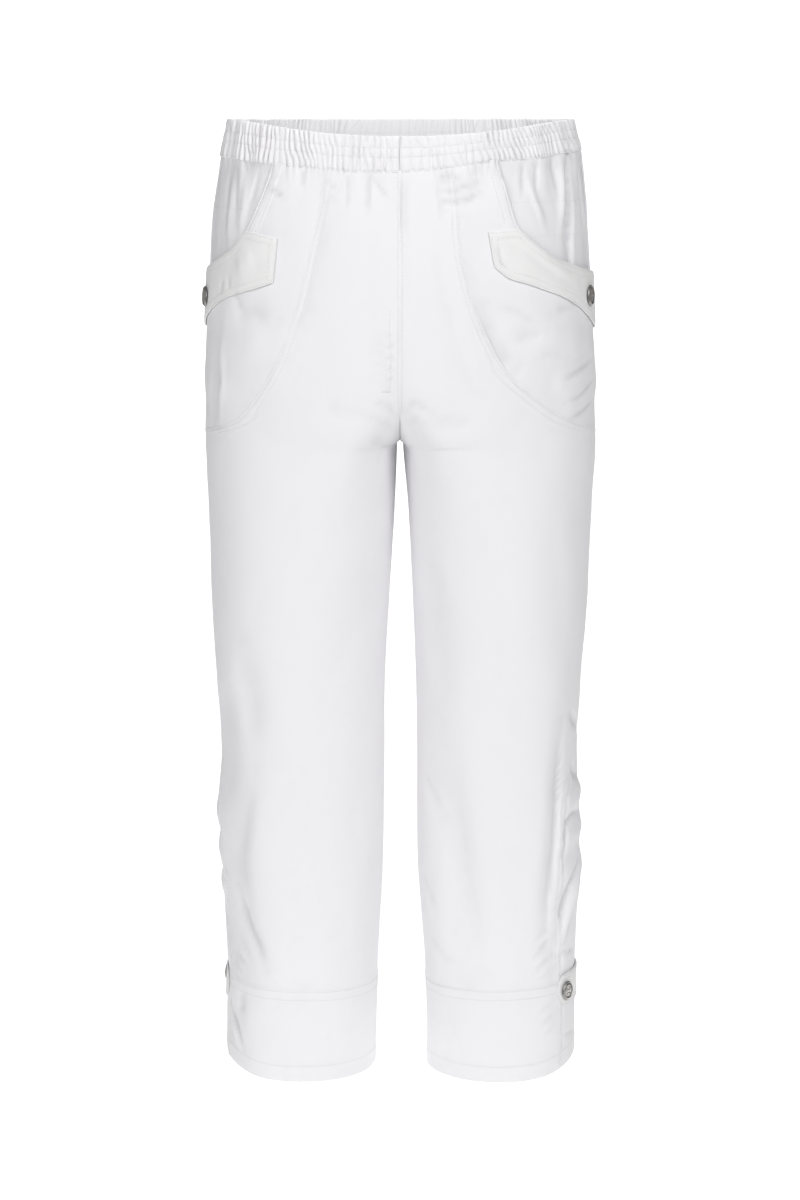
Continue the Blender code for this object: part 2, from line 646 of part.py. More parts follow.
def make_button(button):
    """Make a turned metal button with a rim and four petals, seated on the cloth."""
    u = np.array([button.u])
    z = np.array([button.z])
    normal = outward(button.side, u, z)[0]
    seat = lay(button.side, u, z, button.seat + BUTTON_SEAT_GAP, button.layer)[0]
    upward = np.array([0.0, 0.0, 1.0])
    across = np.cross(upward, normal)
    across /= np.linalg.norm(across)
    upward = np.cross(normal, across)

    angle = np.arange(BUTTON_SIDES) * 2 * math.pi / BUTTON_SIDES
    relief = PETAL_RELIEF * np.cos(PETALS * angle)
    points = []
    for ring in BUTTON_RINGS:
        radius = ring.radius * button.radius
        height = ring.height + ring.petal * relief
        circle = seat + radius * (np.cos(angle)[:, None] * across + np.sin(angle)[:, None] * upward)
        points.extend(circle + height[:, None] * normal)
    points.append(seat + (BUTTON_RINGS[-1].height + PETAL_RELIEF) * normal)

    faces = [tuple(range(BUTTON_SIDES))]
    for i in range(len(BUTTON_RINGS) - 1):
        for j in range(BUTTON_SIDES):
            k = (j + 1) % BUTTON_SIDES
            low = i * BUTTON_SIDES
            high = low + BUTTON_SIDES
            faces.append((low + j, low + k, high + k, high + j))
    last = (len(BUTTON_RINGS) - 1) * BUTTON_SIDES
    crown = len(points) - 1
    for j in range(BUTTON_SIDES):
        faces.append((last + j, last + (j + 1) % BUTTON_SIDES, crown))
    return add_object(button.name, points, faces, DARK_SILVER)


def sew_side(name, side):
    """Make every cloth piece of one half of the trousers."""
    sew_waistband("waistband_" + name, side)
    sew_panel("front_" + name, side, front_patch(side), 0.0, CLOTH, SATEEN)
    sew_panel("back_" + name, side, back_patch(side), 0.0, CLOTH, SATEEN)
    sew_panel("hip_side_" + name, side, hip_side_patch(side), HIP_SIDE_OUT, CLOTH, SATEEN)
    sew_panel("pocket_" + name, side, pocket_patch(side), 0.0, CLOTH, SATEEN, "pocket")
    sew_panel("flap_" + name, side, flap_patch(side), FLAP_OUT, FLAP_CLOTH, TRIM, "pocket")
    for face in ("front", "back"):
        piece = "cuff_" + face + "_" + name
        sew_panel(piece, side, cuff_patch(side, face), CUFF_OUT, CUFF_CLOTH, SATEEN)
    sew_panel("tab_" + name, side, tab_patch(side), TAB_OUT, TAB_CLOTH, TRIM)


def main():
    """Clear the scene and make the trousers."""
    for thing in list(bpy.data.objects):
        bpy.data.objects.remove(thing, do_unlink=True)
    for name, side in SIDES.items():
        sew_side(name, side)
    for button in BUTTONS:
        make_button(button)


main()
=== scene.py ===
"""Dressing of the white capri trousers: every cut piece as thin draped cloth, with its stitches,
its metal buttons and a plain studio.

The cloth follows one surface for each half of the garment, Drape.lay(u, z, out).  u runs round
the half: 0 is the centre front and, below the crotch, the inseam; 0.5 is the side; 1 is the
centre back and again the inseam.  z is the height, with the waist at 0.  out is the distance
outwards from the middle of the body cloth.  All lengths are in metres.
"""

import logging
import math
from collections.abc import Callable
from dataclasses import dataclass, field
from enum import Enum

import bpy
import numpy as np
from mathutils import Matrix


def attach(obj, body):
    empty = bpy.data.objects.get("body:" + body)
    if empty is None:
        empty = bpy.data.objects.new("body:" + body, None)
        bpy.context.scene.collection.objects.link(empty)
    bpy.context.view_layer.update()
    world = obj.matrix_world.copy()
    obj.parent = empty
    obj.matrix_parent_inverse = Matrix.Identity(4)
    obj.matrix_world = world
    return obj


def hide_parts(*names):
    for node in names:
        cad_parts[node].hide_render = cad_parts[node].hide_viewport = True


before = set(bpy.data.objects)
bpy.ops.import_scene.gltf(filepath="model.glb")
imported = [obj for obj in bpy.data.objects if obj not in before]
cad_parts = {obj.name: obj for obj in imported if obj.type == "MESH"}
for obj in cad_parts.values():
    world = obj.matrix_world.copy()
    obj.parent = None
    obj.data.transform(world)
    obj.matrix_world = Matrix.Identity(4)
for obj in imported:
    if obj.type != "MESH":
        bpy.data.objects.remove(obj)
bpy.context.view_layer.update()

LOG = logging.getLogger("capri")
Array = np.ndarray
Thing = bpy.types.Object
Material = bpy.types.Material
Pair = tuple[float, float]
Triple = tuple[float, float, float]

# One layer's thickness, and the length of cloth round a half, from u = 0 to u = 1.
CLOTH = 0.0012
GIRTH_PER_U = 0.50
# The crotch, how far above it the centre seam turns under, and the inseam's short arch.
CROTCH_Z = -0.2885
CROTCH_RISE = 0.065
ARCH_HEIGHT = 0.004
MIN_COSINE = 0.01
# Between these heights two legs merge into one body, and their sections get squarer corners.
MERGE_LOW = -0.40
MERGE_HIGH = -0.15
CORNER_LEG = 0.93
CORNER_BODY = 0.85
# The lower end of the hip pocket, and the cuff's upper edge at the inseam and at the side.
HIP_END_Z = -0.2835
CUFF_TOP_INSEAM = -0.7965
CUFF_TOP_SIDE = -0.7910
# The step in u and z that a surface's direction is worked out from.
PROBE = 0.0005
# How far the two halves' centre seams stay from the middle plane.
CENTRE_GAP = 0.00001
# A hollow is measured against the cloth HOLLOW_REACH away, and its painted shade is full at
# FULL_HOLLOW.
HOLLOW_REACH = 0.005
FULL_HOLLOW = 0.0010
# A crease fades over FOLD_END of its line to FOLD_TIP of its height.  A wide one is deeper by
# WIDE_DEPTH than a narrow one.
FOLD_END = 0.35
FOLD_TIP = 0.25
NARROW_WIDTH, WIDE_WIDTH = 0.0026, 0.0080
NARROW_DEPTH, WIDE_DEPTH = 1.2, 1.1
# The whole numbers after which the random field repeats, and a length that counts as none.
FIELD_SIZE = 96
TINY = 1e-12


class Side(Enum):
    """The wearer's two sides; the value is the sign of X."""

    LEFT = 1
    RIGHT = -1

    @property
    def word(self) -> str:
        """The side's name as the nodes have it."""
        return self.name.lower()


class Layer(Enum):
    """Which pieces a fold lies on: all of them, or those of one layer of the hip pocket."""

    BODY = "body"
    HIP = "hip"
    POCKET = "pocket"
    FLAP = "flap"


class Edge(Enum):
    """The four edges of a piece's grid: first column, last column, first row, last row."""

    START = "start"
    END = "end"
    TOP = "top"
    BOTTOM = "bottom"


class Face(Enum):
    """The two halves of a cuff."""

    FRONT = "front"
    BACK = "back"


class Held(Enum):
    DRAPED = "draped"
    GATHERED = "gathered"
    FOLDED = "folded"


R, L = Side.RIGHT, Side.LEFT
BODY, HIP, POCKET, FLAP = Layer.BODY, Layer.HIP, Layer.POCKET, Layer.FLAP


def places(*numbers: int) -> Array:
    """Make points (u, z) from ten-thousandths of u and tenths of a millimetre, in turn."""
    return np.reshape(numbers, (-1, 2)) / 10000


# Half widths and depths in tenths of a millimetre: the columns named below, after z.
OUTER_RIGHT, INNER_RIGHT, INNER_LEFT, OUTER_LEFT, FRONT_DEPTH, BACK_DEPTH = range(1, 7)
SECTIONS = np.array([
    (100, 1500, 32, 32, 1520, 1030, 1040),
    (-350, 1595, 32, 32, 1630, 1070, 1100),
    (-720, 1670, 32, 32, 1680, 1100, 1170),
    (-1260, 1720, 32, 32, 1712, 1130, 1250),
    (-2000, 1755, 32, 32, 1745, 1130, 1300),
    (-2540, 1760, 32, 32, 1760, 1080, 1270),
    (-2900, 1765, 32, 32, 1775, 1020, 1180),
    (-3460, 1745, 51, 78, 1755, 950, 1060),
    (-4400, 1727, 106, 125, 1727, 870, 930),
    (-5150, 1697, 144, 153, 1679, 810, 860),
    (-5800, 1667, 148, 163, 1652, 770, 820),
    (-6300, 1697, 154, 164, 1670, 760, 810),
    (-6870, 1668, 164, 174, 1668, 740, 790),
    (-7450, 1617, 193, 212, 1645, 720, 750),
    (-7850, 1611, 213, 241, 1640, 710, 730),
    (-8240, 1624, 223, 258, 1652, 710, 710),
    (-8950, 1629, 242, 262, 1652, 710, 710),
]) / 10000

# The waistband's lower edge and the depth of the flutes under it, after u, in ten-thousandths.
BOTTOM_RIGHT, FLUTE_RIGHT, BOTTOM_LEFT, FLUTE_LEFT = range(1, 5)
BAND = np.array([
    (0, -437, 8, -437, 8),
    (650, -430, 12, -398, 8),
    (1400, -397, 2, -346, 1),
    (2300, -373, 2, -323, 8),
    (3300, -337, 12, -283, 12),
    (4200, -326, 12, -264, 12),
    (5000, -322, 10, -264, 10),
    (7000, -345, 10, -315, 10),
    (10000, -355, 8, -355, 8),
]) / 10000
# The upper edge dips by BAND_DIP at the centre front and is level from BAND_DIP_END on.
BAND_DIP = 0.0139
BAND_DIP_END = 0.42
BAND_DIP_POWER = 0.95
FLUTES = 12
FLUTE_FADE = 0.030
# Gathers round a half before twice GATHERS_EASED are taken out about EASED_U.
GATHERS = 90
GATHERS_EASED = 5
EASED_U = 0.42
EASED_SPREAD = 0.09
EASED_STEADY = 0.65
GATHER_LEAN = 1.0
GATHER_POWER = 0.62
GATHER_MIDDLE = 0.70
CENTRE_FADE = 0.035
# The gathers' mean height, its least and most, and its share next to the centre seams.
GATHER_MEAN = 0.95
GATHER_RANGE = (0.75, 1.5)
CENTRE_SHARE = 0.72
CENTRE_SPREAD = (0.03, 0.12)
# How far down the uneven flutes reach, and how deep and how long the small pleats are.
UNEVEN_REACH = 0.034
PLEAT_DEPTH = 0.0022
PLEAT_REACH = 0.0070
# How high the slow, short and fine waves of worn cloth are.
RUMPLES = (0.0015, 0.00042, 0.00008)

# Seams and edges drawn on the surface, as points (u, z).
PRINCESS = {
    R: places(1125, -400, 1138, -603, 1320, -1166, 1540, -1612, 2105, -2198, 2920, -2587, 4880, -2818),
    L: places(716, -385, 780, -700, 826, -1120, 1142, -1740, 1732, -2210, 2913, -2578, 4880, -2816),
}
OPENING = {
    R: places(2250, -373, 2410, -670, 2770, -980, 3070, -1096, 3530, -1190, 4190, -1273, 5000, -1340),
    L: places(1520, -340, 1710, -690, 1920, -953, 2160, -1040, 2610, -1170, 3330, -1267, 5000, -1370),
}
FLAP_TOP = {
    R: places(1950, -1032, 2320, -1000, 2760, -985, 3080, -1105, 3540, -1198, 4200, -1280, 5000, -1350,
              5700, -1420),
    L: places(1290, -967, 1550, -960, 1900, -958, 2170, -1047, 2620, -1175, 3340, -1274, 5000, -1377,
              5700, -1440),
}
FLAP_BOTTOM = {
    R: places(2000, -1415, 2320, -1460, 2680, -1502, 3020, -1535, 3350, -1572, 4000, -1680, 5000, -1860,
              5700, -1860),
    L: places(1390, -1270, 1650, -1368, 2050, -1425, 2350, -1468, 2680, -1512, 3300, -1600, 5000, -1880,
              5700, -1880),
}
SIDE_SEAM = {
    R: places(5000, -2900, 4870, -5000, 4650, -6400, 4500, -7600, 4420, -8000, 4500, -8400,
              4500, -9000),
    L: places(5000, -2900, 4870, -4400, 4600, -5300, 4330, -5840, 3940, -6120, 3800, -6600, 3740, -7300,
              3810, -8000, 3840, -9000),
}


@dataclass(frozen=True)
class Trim:
    """Where one side's tab and buttons are: the tab's tip and length, the buttons' centres."""

    tab_tip: float
    tab_z: float
    tab_length: float
    flap_button: Pair
    tab_button: Pair


TRIM = {
    L: Trim(0.366, -0.7995, 0.082, (0.411, -0.1560), (0.396, -0.8005)),
    R: Trim(0.450, -0.8000, 0.062, (0.440, -0.1575), (0.534, -0.8000)),
}
# The two cross seams of the pocket's facing, and where the side seam's puckers start.
FACING = {L: (-0.072, -0.102), R: (-0.0785, -0.106)}
PUCKER_TOP = {L: -0.565, R: -0.600}


@dataclass(frozen=True)
class Fold:
    """A soft ridge (height above 0) or trough along a line of places (u, z).

    lean above 0 makes the flank on the line's left steeper than the one on its right.
    """

    side: Side
    layer: Layer
    line: Array
    width: float
    height: float
    lean: float = 0.0
    even: bool = False


def make_folds(rows: list[tuple], even: bool = False) -> list[Fold]:
    """Make folds from rows in thousandths of u and tenths of a millimetre.

    Args:
        rows: side, layer, width, height, lean, and u and z of each place on the line.
        even: whether the folds keep their height along their whole line.

    Returns:
        The folds, in metres.
    """
    return [
        Fold(side, layer, np.reshape(line, (-1, 2)) / (1000, 10000), width / 10000,
             height / 10000, lean, even)
        for side, layer, width, height, lean, *line in rows
    ]


# A fold's row: side, layer, width, height, lean, then u and z of each place on its line.  u is
# in thousandths of the way round the half, and lengths are in tenths of a millimetre.
# These are the broad folds, which the solids have too.
MAIN_FOLDS = make_folds([
    (R, BODY, 110, -16, 0, 30, -2620, 105, -2520),
    (L, BODY, 110, -18, 0, 30, -2580, 110, -2640),
    (R, BODY, 140, -20, 0, 965, -2620, 880, -2850),
    (L, BODY, 140, -20, 0, 965, -2580, 885, -2900),
    (R, BODY, 240, 20, 0, 335, -5600, 300, -7700),
    (R, BODY, 220, -26, 0, 425, -5400, 385, -7600),
    (R, BODY, 280, -18, 0, 100, -4200, 200, -5200),
    (L, BODY, 240, -22, 0, 85, -4500, 110, -6000),
    (L, BODY, 240, -28, 0, 110, -6400, 170, -7800),
    (L, BODY, 300, 16, 0, 330, -5000, 315, -7000),
    (R, BODY, 260, -22, 0, 620, -4300, 680, -5600),
    (L, BODY, 260, -22, 0, 620, -4200, 690, -5600),
    (R, BODY, 200, -24, 0, 840, -5600, 740, -6400),
    (L, BODY, 200, -24, 0, 850, -5500, 740, -6300),
    (L, BODY, 100, 26, 0, 402, -6230, 475, -6160),
    (L, BODY, 100, 26, 0, 392, -6550, 470, -6500),
    (L, BODY, 110, 26, 0, 395, -6900, 470, -6840),
    (L, BODY, 100, 28, 0, 445, -7120, 392, -7680),
    (R, BODY, 100, 20, 0, 470, -6400, 535, -6340),
    (R, BODY, 100, 22, 0, 468, -6740, 530, -6680),
    (R, BODY, 110, 22, 0, 466, -7080, 530, -7020),
    (R, BODY, 100, 22, 0, 505, -7280, 462, -7720),
    (L, POCKET, 110, 16, 0, 240, -1960, 440, -2040),
    (L, POCKET, 110, 20, 0, 300, -2300, 445, -2220),
    (L, POCKET, 120, 20, 0, 330, -2500, 470, -2360),
    (R, POCKET, 140, 14, 0, 240, -2000, 400, -2100),
    (R, POCKET, 140, 16, 0, 345, -2400, 460, -2320),
], even=True)

# These are the finer creases.
CREASES = make_folds([
    (R, POCKET, 34, -9, 0.3, 226, -597, 205, -630, 186, -667),
    (R, POCKET, 34, 12, 0, 226, -545, 200, -580, 180, -620),
    (R, POCKET, 18, -5, 0, 236, -774, 214, -773),
    (R, BODY, 24, -9, 0, 154, -405, 153, -590),
    (R, BODY, 22, 10, 0, 116, -505, 96, -478, 80, -492),
    (R, BODY, 22, 10, 0, 115, -572, 94, -545, 79, -556),
    (R, BODY, 24, 9, 0, 115, -640, 94, -622, 80, -668),
    (R, BODY, 22, -9, 0.4, 72, -420, 71, -600, 71, -800),
    (R, BODY, 22, -10, -0.4, 38, -440, 38, -820),
    (R, BODY, 24, -7, 0, 32, -490, 21, -602, 10, -690),
    (R, BODY, 110, -14, 0.5, 98, -600, 112, -1173, 132, -1644, 175, -2080),
    (R, POCKET, 110, -12, 0, 310, -1737, 245, -1691, 195, -1739),
    (R, POCKET, 50, -8, 0, 302, -1500, 286, -1690),
    (R, POCKET, 120, -4, 0.4, 420, -2000, 382, -2238, 393, -2496, 396, -2740),
    (R, POCKET, 50, 10, 0, 350, -1980, 345, -2320, 372, -2700),
    (R, BODY, 22, 9, 0, 21, -1902, 10, -1908),
    (R, BODY, 22, 10, 0, 23, -2007, 10, -2014),
    (R, BODY, 22, 12, 0, 25, -2107, 10, -2120),
    (R, BODY, 22, 12, 0, 27, -2192, 10, -2208),
    (R, BODY, 22, 12, 0, 28, -2275, 10, -2288),
    (R, BODY, 50, -7, 0.3, 58, -2440, 26, -2489, 10, -2560),
    (R, BODY, 45, 7, 0, 60, -2540, 30, -2600, 8, -2690),
    (R, BODY, 60, -6, 0, 45, -2740, 90, -2860, 106, -3080),
    (L, BODY, 55, -7, 0.2, 3, -440, 2, -688, 3, -1060),
    (L, BODY, 48, -6, 0.2, 10, -2480, 35, -2455, 62, -2520),
    (L, BODY, 50, 7, 0, 8, -2610, 35, -2550, 70, -2620),
    (L, BODY, 28, 9, 0, 47, -462, 75, -456, 90, -440),
    (L, BODY, 28, -10, 0, 46, -500, 80, -498),
    (L, BODY, 28, 12, 0, 55, -545, 83, -542, 116, -488),
    (L, BODY, 30, -11, 0.3, 50, -590, 76, -592, 100, -560),
    (L, BODY, 24, 9, 0, 52, -640, 66, -645),
    (L, BODY, 36, -14, 0.3, 56, -702, 93, -690, 116, -630),
    (L, BODY, 22, 7, 0, 54, -745, 70, -748),
    (L, BODY, 22, 6, 0, 56, -830, 68, -834),
    (L, BODY, 36, -5, -0.5, 46, -450, 49, -654, 53, -900),
    (L, POCKET, 46, 18, 0, 164, -385, 172, -485, 166, -606),
    (L, HIP, 26, -15, 0, 211, -330, 207, -480, 203, -660),
    (L, HIP, 26, -16, 0.3, 246, -315, 242, -480, 238, -610),
    (L, HIP, 28, -13, 0, 292, -300, 300, -491, 304, -680),
    (L, HIP, 42, 19, 0, 215, -480, 232, -731, 254, -960),
    (L, HIP, 60, -50, 0.5, 376, -280, 362, -618, 346, -924, 338, -1260),
    (L, HIP, 60, 14, 0, 326, -330, 322, -618, 306, -960),
    (L, HIP, 60, -22, 0, 440, -280, 436, -700, 430, -1100),
    (R, HIP, 36, -12, 0.4, 258, -390, 268, -568, 282, -900),
    (R, HIP, 50, 8, 0, 300, -500, 296, -720, 300, -1020),
    (R, HIP, 36, -10, 0, 346, -354, 330, -616, 318, -900),
    (R, HIP, 40, -8, 0, 395, -341, 372, -700, 360, -1080),
    (R, HIP, 40, 7, 0, 370, -350, 350, -700, 340, -1100),
    (R, HIP, 40, -7, 0, 450, -341, 440, -700, 430, -1100),
    (L, FLAP, 40, -7, 0.3, 140, -1050, 151, -1228, 166, -1334),
    (L, FLAP, 60, 11, 0, 183, -1030, 225, -1150, 283, -1310, 340, -1420),
    (R, FLAP, 40, -6, 0, 345, -1380, 352, -1560),
    (R, FLAP, 36, -6, 0, 322, -1370, 318, -1500),
    (R, FLAP, 100, 7, 0, 240, -1180, 300, -1300),
    (L, POCKET, 70, -7, 0, 172, -1925, 205, -1890, 250, -1870),
    (L, POCKET, 80, -7, 0.3, 130, -1600, 185, -1680, 244, -1834),
    (L, POCKET, 60, -4, 0, 230, -2035, 310, -2060),
    (L, POCKET, 80, -5, 0, 146, -2040, 215, -2170),
    (L, POCKET, 60, -8, 0, 265, -1697, 312, -1653, 373, -1640),
    (L, POCKET, 32, -16, 0.3, 290, -2294, 343, -2237, 440, -2130),
    (L, POCKET, 30, -16, 0.3, 309, -2486, 358, -2450, 440, -2310),
    (L, POCKET, 28, -14, 0.3, 329, -2643, 373, -2600, 440, -2500),
    (L, POCKET, 100, -10, 0, 121, -1609, 143, -1908, 180, -2176),
    (L, BODY, 100, 10, 0, 64, -900, 70, -1300, 92, -1850, 130, -2230, 190, -2480),
    (R, BODY, 150, -14, -0.5, 331, -5900, 355, -6421, 371, -6700, 362, -7104),
    (R, BODY, 75, -18, 0, 396, -7020, 366, -7300, 334, -7520, 310, -7740),
    (R, BODY, 44, 16, 0, 400, -7590, 371, -7690),
    (R, BODY, 28, 13, 0, 408, -7720, 380, -7785),
    (R, BODY, 24, 11, 0, 418, -7800, 392, -7850),
    (R, BODY, 160, -18, 0, 345, -4700, 333, -5204, 320, -5761),
    (R, BODY, 40, -16, 0.2, 434, -8180, 399, -8371, 374, -8560),
    (R, BODY, 50, 12, 0, 424, -8330, 385, -8540),
    (R, BODY, 80, -10, 0, 389, -7985, 382, -8260),
    (L, BODY, 200, -26, 0.3, 137, -5700, 157, -6423, 175, -7079, 193, -7700),
    (L, BODY, 80, -7, 0.2, 50, -5900, 120, -6308),
    (L, BODY, 80, -7, 0, 40, -6880, 100, -7273),
    (L, BODY, 80, -7, 0.3, 60, -7500, 118, -7680, 150, -7700),
    (L, BODY, 170, -14, 0, 103, -3700, 122, -4661, 137, -5400),
    (L, BODY, 60, -24, 0.5, 372, -5400, 358, -6063, 350, -6529, 336, -7067, 330, -7500),
    (L, BODY, 42, -34, 0.3, 400, -5369, 440, -5480, 490, -5587),
    (L, BODY, 42, -36, 0.3, 418, -5900, 450, -6000, 492, -6046),
    (L, BODY, 30, -28, 0.3, 373, -6700, 384, -6400, 415, -6330, 470, -6360),
    (L, BODY, 60, 30, 0, 455, -6880, 418, -7073, 384, -7358, 372, -7590),
    (L, BODY, 36, -30, 0, 440, -6800, 400, -6980, 372, -7240),
    (L, BODY, 20, -13, 0, 350, -7641, 393, -7631, 469, -7677),
    (L, BODY, 30, 12, 0, 310, -7520, 344, -7407),
    (L, BODY, 30, 13, 0, 304, -7684, 341, -7578),
    (L, BODY, 30, 12, 0, 315, -7800, 348, -7698),
    (L, BODY, 26, -10, 0, 388, -8440, 425, -8445, 459, -8492),
    (L, BODY, 28, 10, 0, 318, -8200, 350, -8140),
    (L, BODY, 28, 10, 0, 322, -8330, 352, -8270),
    (R, BODY, 34, -22, 0.3, 470, -6540, 500, -6520, 550, -6600),
    (R, BODY, 34, -22, 0.3, 470, -6900, 500, -6880, 548, -6960),
    (R, BODY, 120, -16, 0.3, 600, -1500, 640, -2100, 720, -2550),
    (L, BODY, 120, -16, 0.3, 610, -1600, 655, -2150, 735, -2600),
    (R, BODY, 70, -18, 0.2, 985, -2450, 920, -2560, 850, -2500),
    (L, BODY, 70, -18, 0.2, 985, -2480, 915, -2600, 840, -2530),
    (R, BODY, 60, -14, 0, 970, -2800, 900, -3000, 850, -3300),
    (L, BODY, 60, -14, 0, 970, -2760, 905, -2960, 845, -3350),
    (R, BODY, 100, -20, 0.3, 930, -5300, 860, -5480, 770, -5400),
    (L, BODY, 100, -20, 0.3, 930, -5200, 855, -5420, 765, -5360),
    (R, BODY, 80, -14, 0, 640, -5900, 720, -5980, 800, -6200),
    (L, BODY, 80, -14, 0, 640, -5820, 725, -5900, 810, -6150),
    (R, BODY, 140, -18, 0.2, 690, -6500, 700, -7200, 680, -7800),
    (L, BODY, 140, -18, 0.2, 700, -6400, 690, -7200, 705, -7800),
])

# Where the waistband lies nearly smooth: middle and width in u, and the share of height lost.
LIGHTLY_GATHERED = {
    R: ((0.118, 0.028, 0.55), (0.212, 0.014, 0.70)),
    L: ((0.092, 0.036, 0.45),),
}


def smoothstep(low: float, high: float, at: Array) -> Array:
    """Rise from 0 at low to 1 at high along the cubic 3t^2 - 2t^3."""
    t = np.clip((at - low) / (high - low), 0.0, 1.0)
    return t * t * (3 - 2 * t)


def bump(at: Array, middle: float, width: float) -> Array:
    """Give the bell curve exp(-((at - middle) / width)^2)."""
    return np.exp(-((at - middle) / width) ** 2)


def random_field(x: Array, y: Array, seed: int) -> Array:
    """Give a smooth random field of about -1 to 1.

    Random numbers stand on the whole numbers of x and y, and the four round each place are
    blended along smoothstep curves.

    Args:
        x, y: the places.
        seed: the seed of its numbers.

    Returns:
        The field at the places.
    """
    x, y = np.broadcast_arrays(np.asarray(x, float), np.asarray(y, float))
    table = np.random.default_rng(seed).uniform(-1.0, 1.0, (FIELD_SIZE, FIELD_SIZE))
    i, j = np.floor(x).astype(int), np.floor(y).astype(int)
    across, down = smoothstep(0, 1, x - i), smoothstep(0, 1, y - j)
    right, below = (i + 1) % FIELD_SIZE, (j + 1) % FIELD_SIZE
    i, j = i % FIELD_SIZE, j % FIELD_SIZE
    upper = table[i, j] * (1 - across) + table[right, j] * across
    lower = table[i, below] * (1 - across) + table[right, below] * across
    return upper * (1 - down) + lower * down


@dataclass(frozen=True)
class Uneven:
    """A random field at its own scale: its strength and its cells per unit both ways."""

    strength: float
    across: float
    down: float
    seed: int
    shift: Pair = (0.0, 0.0)

    def at(self, x: Array, y: Array, seed: int) -> Array:
        """Give strength times the random field at (x across, y down), moved by the shift."""
        x, y = x * self.across + self.shift[0], y * self.down + self.shift[1]
        return self.strength * random_field(x, y, seed + self.seed)


# How the gathers lean, wander and differ in height, and how the cloth under them waves.
LEANING = Uneven(0.8, 13, 0.5, 7, (7.0, 0.0))
WANDER = Uneven(1.10, 17, 0.7, 0)
SHORT_WANDER = Uneven(0.42, 49, 2.1, 1, (0.0, 5.0))
GATHER_HEIGHT = Uneven(0.45, 45, 1.6, 2)
SHORT_HEIGHT = Uneven(0.30, 101, 2.6, 3)
UNEVEN_FLUTES = Uneven(0.0020, 34, 14, 3, (3.0, 0.0))


def read_curve(places: Array, values: Array, at: Array) -> Array:
    """Read a smooth curve through (places, values): cubic Hermite pieces with mean slopes.

    Args:
        places: where the values stand, in any order.
        values: the curve's values there.
        at: where to read it.

    Returns:
        The values there, level beyond both ends.
    """
    order = np.argsort(places)
    x, y = np.asarray(places, float)[order], np.asarray(values, float)[order]
    slope = np.gradient(y, x)
    i = np.clip(np.searchsorted(x, at) - 1, 0, len(x) - 2)
    h = x[i + 1] - x[i]
    t = np.clip((at - x[i]) / h, 0.0, 1.0)
    start = (1 + 2 * t) * (1 - t) ** 2 * y[i] + t * (1 - t) ** 2 * h * slope[i]
    end = t * t * (3 - 2 * t) * y[i + 1] + t * t * (t - 1) * h * slope[i + 1]
    return start + end


def drawn(points: Array, share: Array) -> Array:
    """Read a smooth curve through points (u, z).

    Args:
        points: the points.
        share: where to read, as shares of the curve's length on the cloth.

    Returns:
        The places (u, z) there.
    """
    steps = np.hypot(np.diff(points[:, 0]) * GIRTH_PER_U, np.diff(points[:, 1]))
    length = np.concatenate([[0.0], np.cumsum(steps)])
    at = share * length[-1]
    return np.stack([read_curve(length, points[:, k], at) for k in (0, 1)], axis=-1)


def unit(vectors: Array) -> Array:
    """Scale vectors to length 1."""
    return vectors / np.maximum(np.linalg.norm(vectors, axis=-1, keepdims=True), TINY)


def fold_lift(fold: Fold, u: Array, z: Array) -> Array:
    """Give one fold's height at the places (u, z).

    It is height * exp(-(distance / width)^2) with the distance from the fold's line, fading
    over the line's two ends, and with a narrower width on the side it leans to.

    Args:
        fold: the fold.
        u, z: the places.

    Returns:
        The height it adds to the cloth.
    """
    line = fold.line * (GIRTH_PER_U, 1.0)
    lengths = np.hypot(*np.diff(line, axis=0).T)
    starts = np.concatenate([[0.0], np.cumsum(lengths)])
    nearest = np.full(np.shape(u), np.inf)
    along = np.zeros(np.shape(u))
    across = np.zeros(np.shape(u))
    for (a_u, a_z), (run_u, run_z), length, start in zip(
        line[:-1], np.diff(line, axis=0), lengths, starts
    ):
        from_u, from_z = u * GIRTH_PER_U - a_u, z - a_z
        share = np.clip((from_u * run_u + from_z * run_z) / length ** 2, 0.0, 1.0)
        distance = np.hypot(from_u - share * run_u, from_z - share * run_z)
        closer = distance < nearest
        nearest = np.where(closer, distance, nearest)
        along = np.where(closer, start + share * length, along)
        across = np.where(closer, (run_u * from_z - run_z * from_u) / length, across)
    width = fold.width * (1 - fold.lean * np.tanh(across / fold.width))
    fade = 1.0
    if not fold.even:
        end = along / starts[-1]
        level = (1 - FOLD_TIP) * smoothstep(0.0, FOLD_END, end)
        fade = FOLD_TIP + level * smoothstep(0.0, FOLD_END, 1 - end)
        wide = float(smoothstep(NARROW_WIDTH, WIDE_WIDTH, np.array(fold.width)))
        fade = fade * (NARROW_DEPTH + WIDE_DEPTH * wide)
    return fold.height * fade * np.exp(-(nearest / width) ** 2)


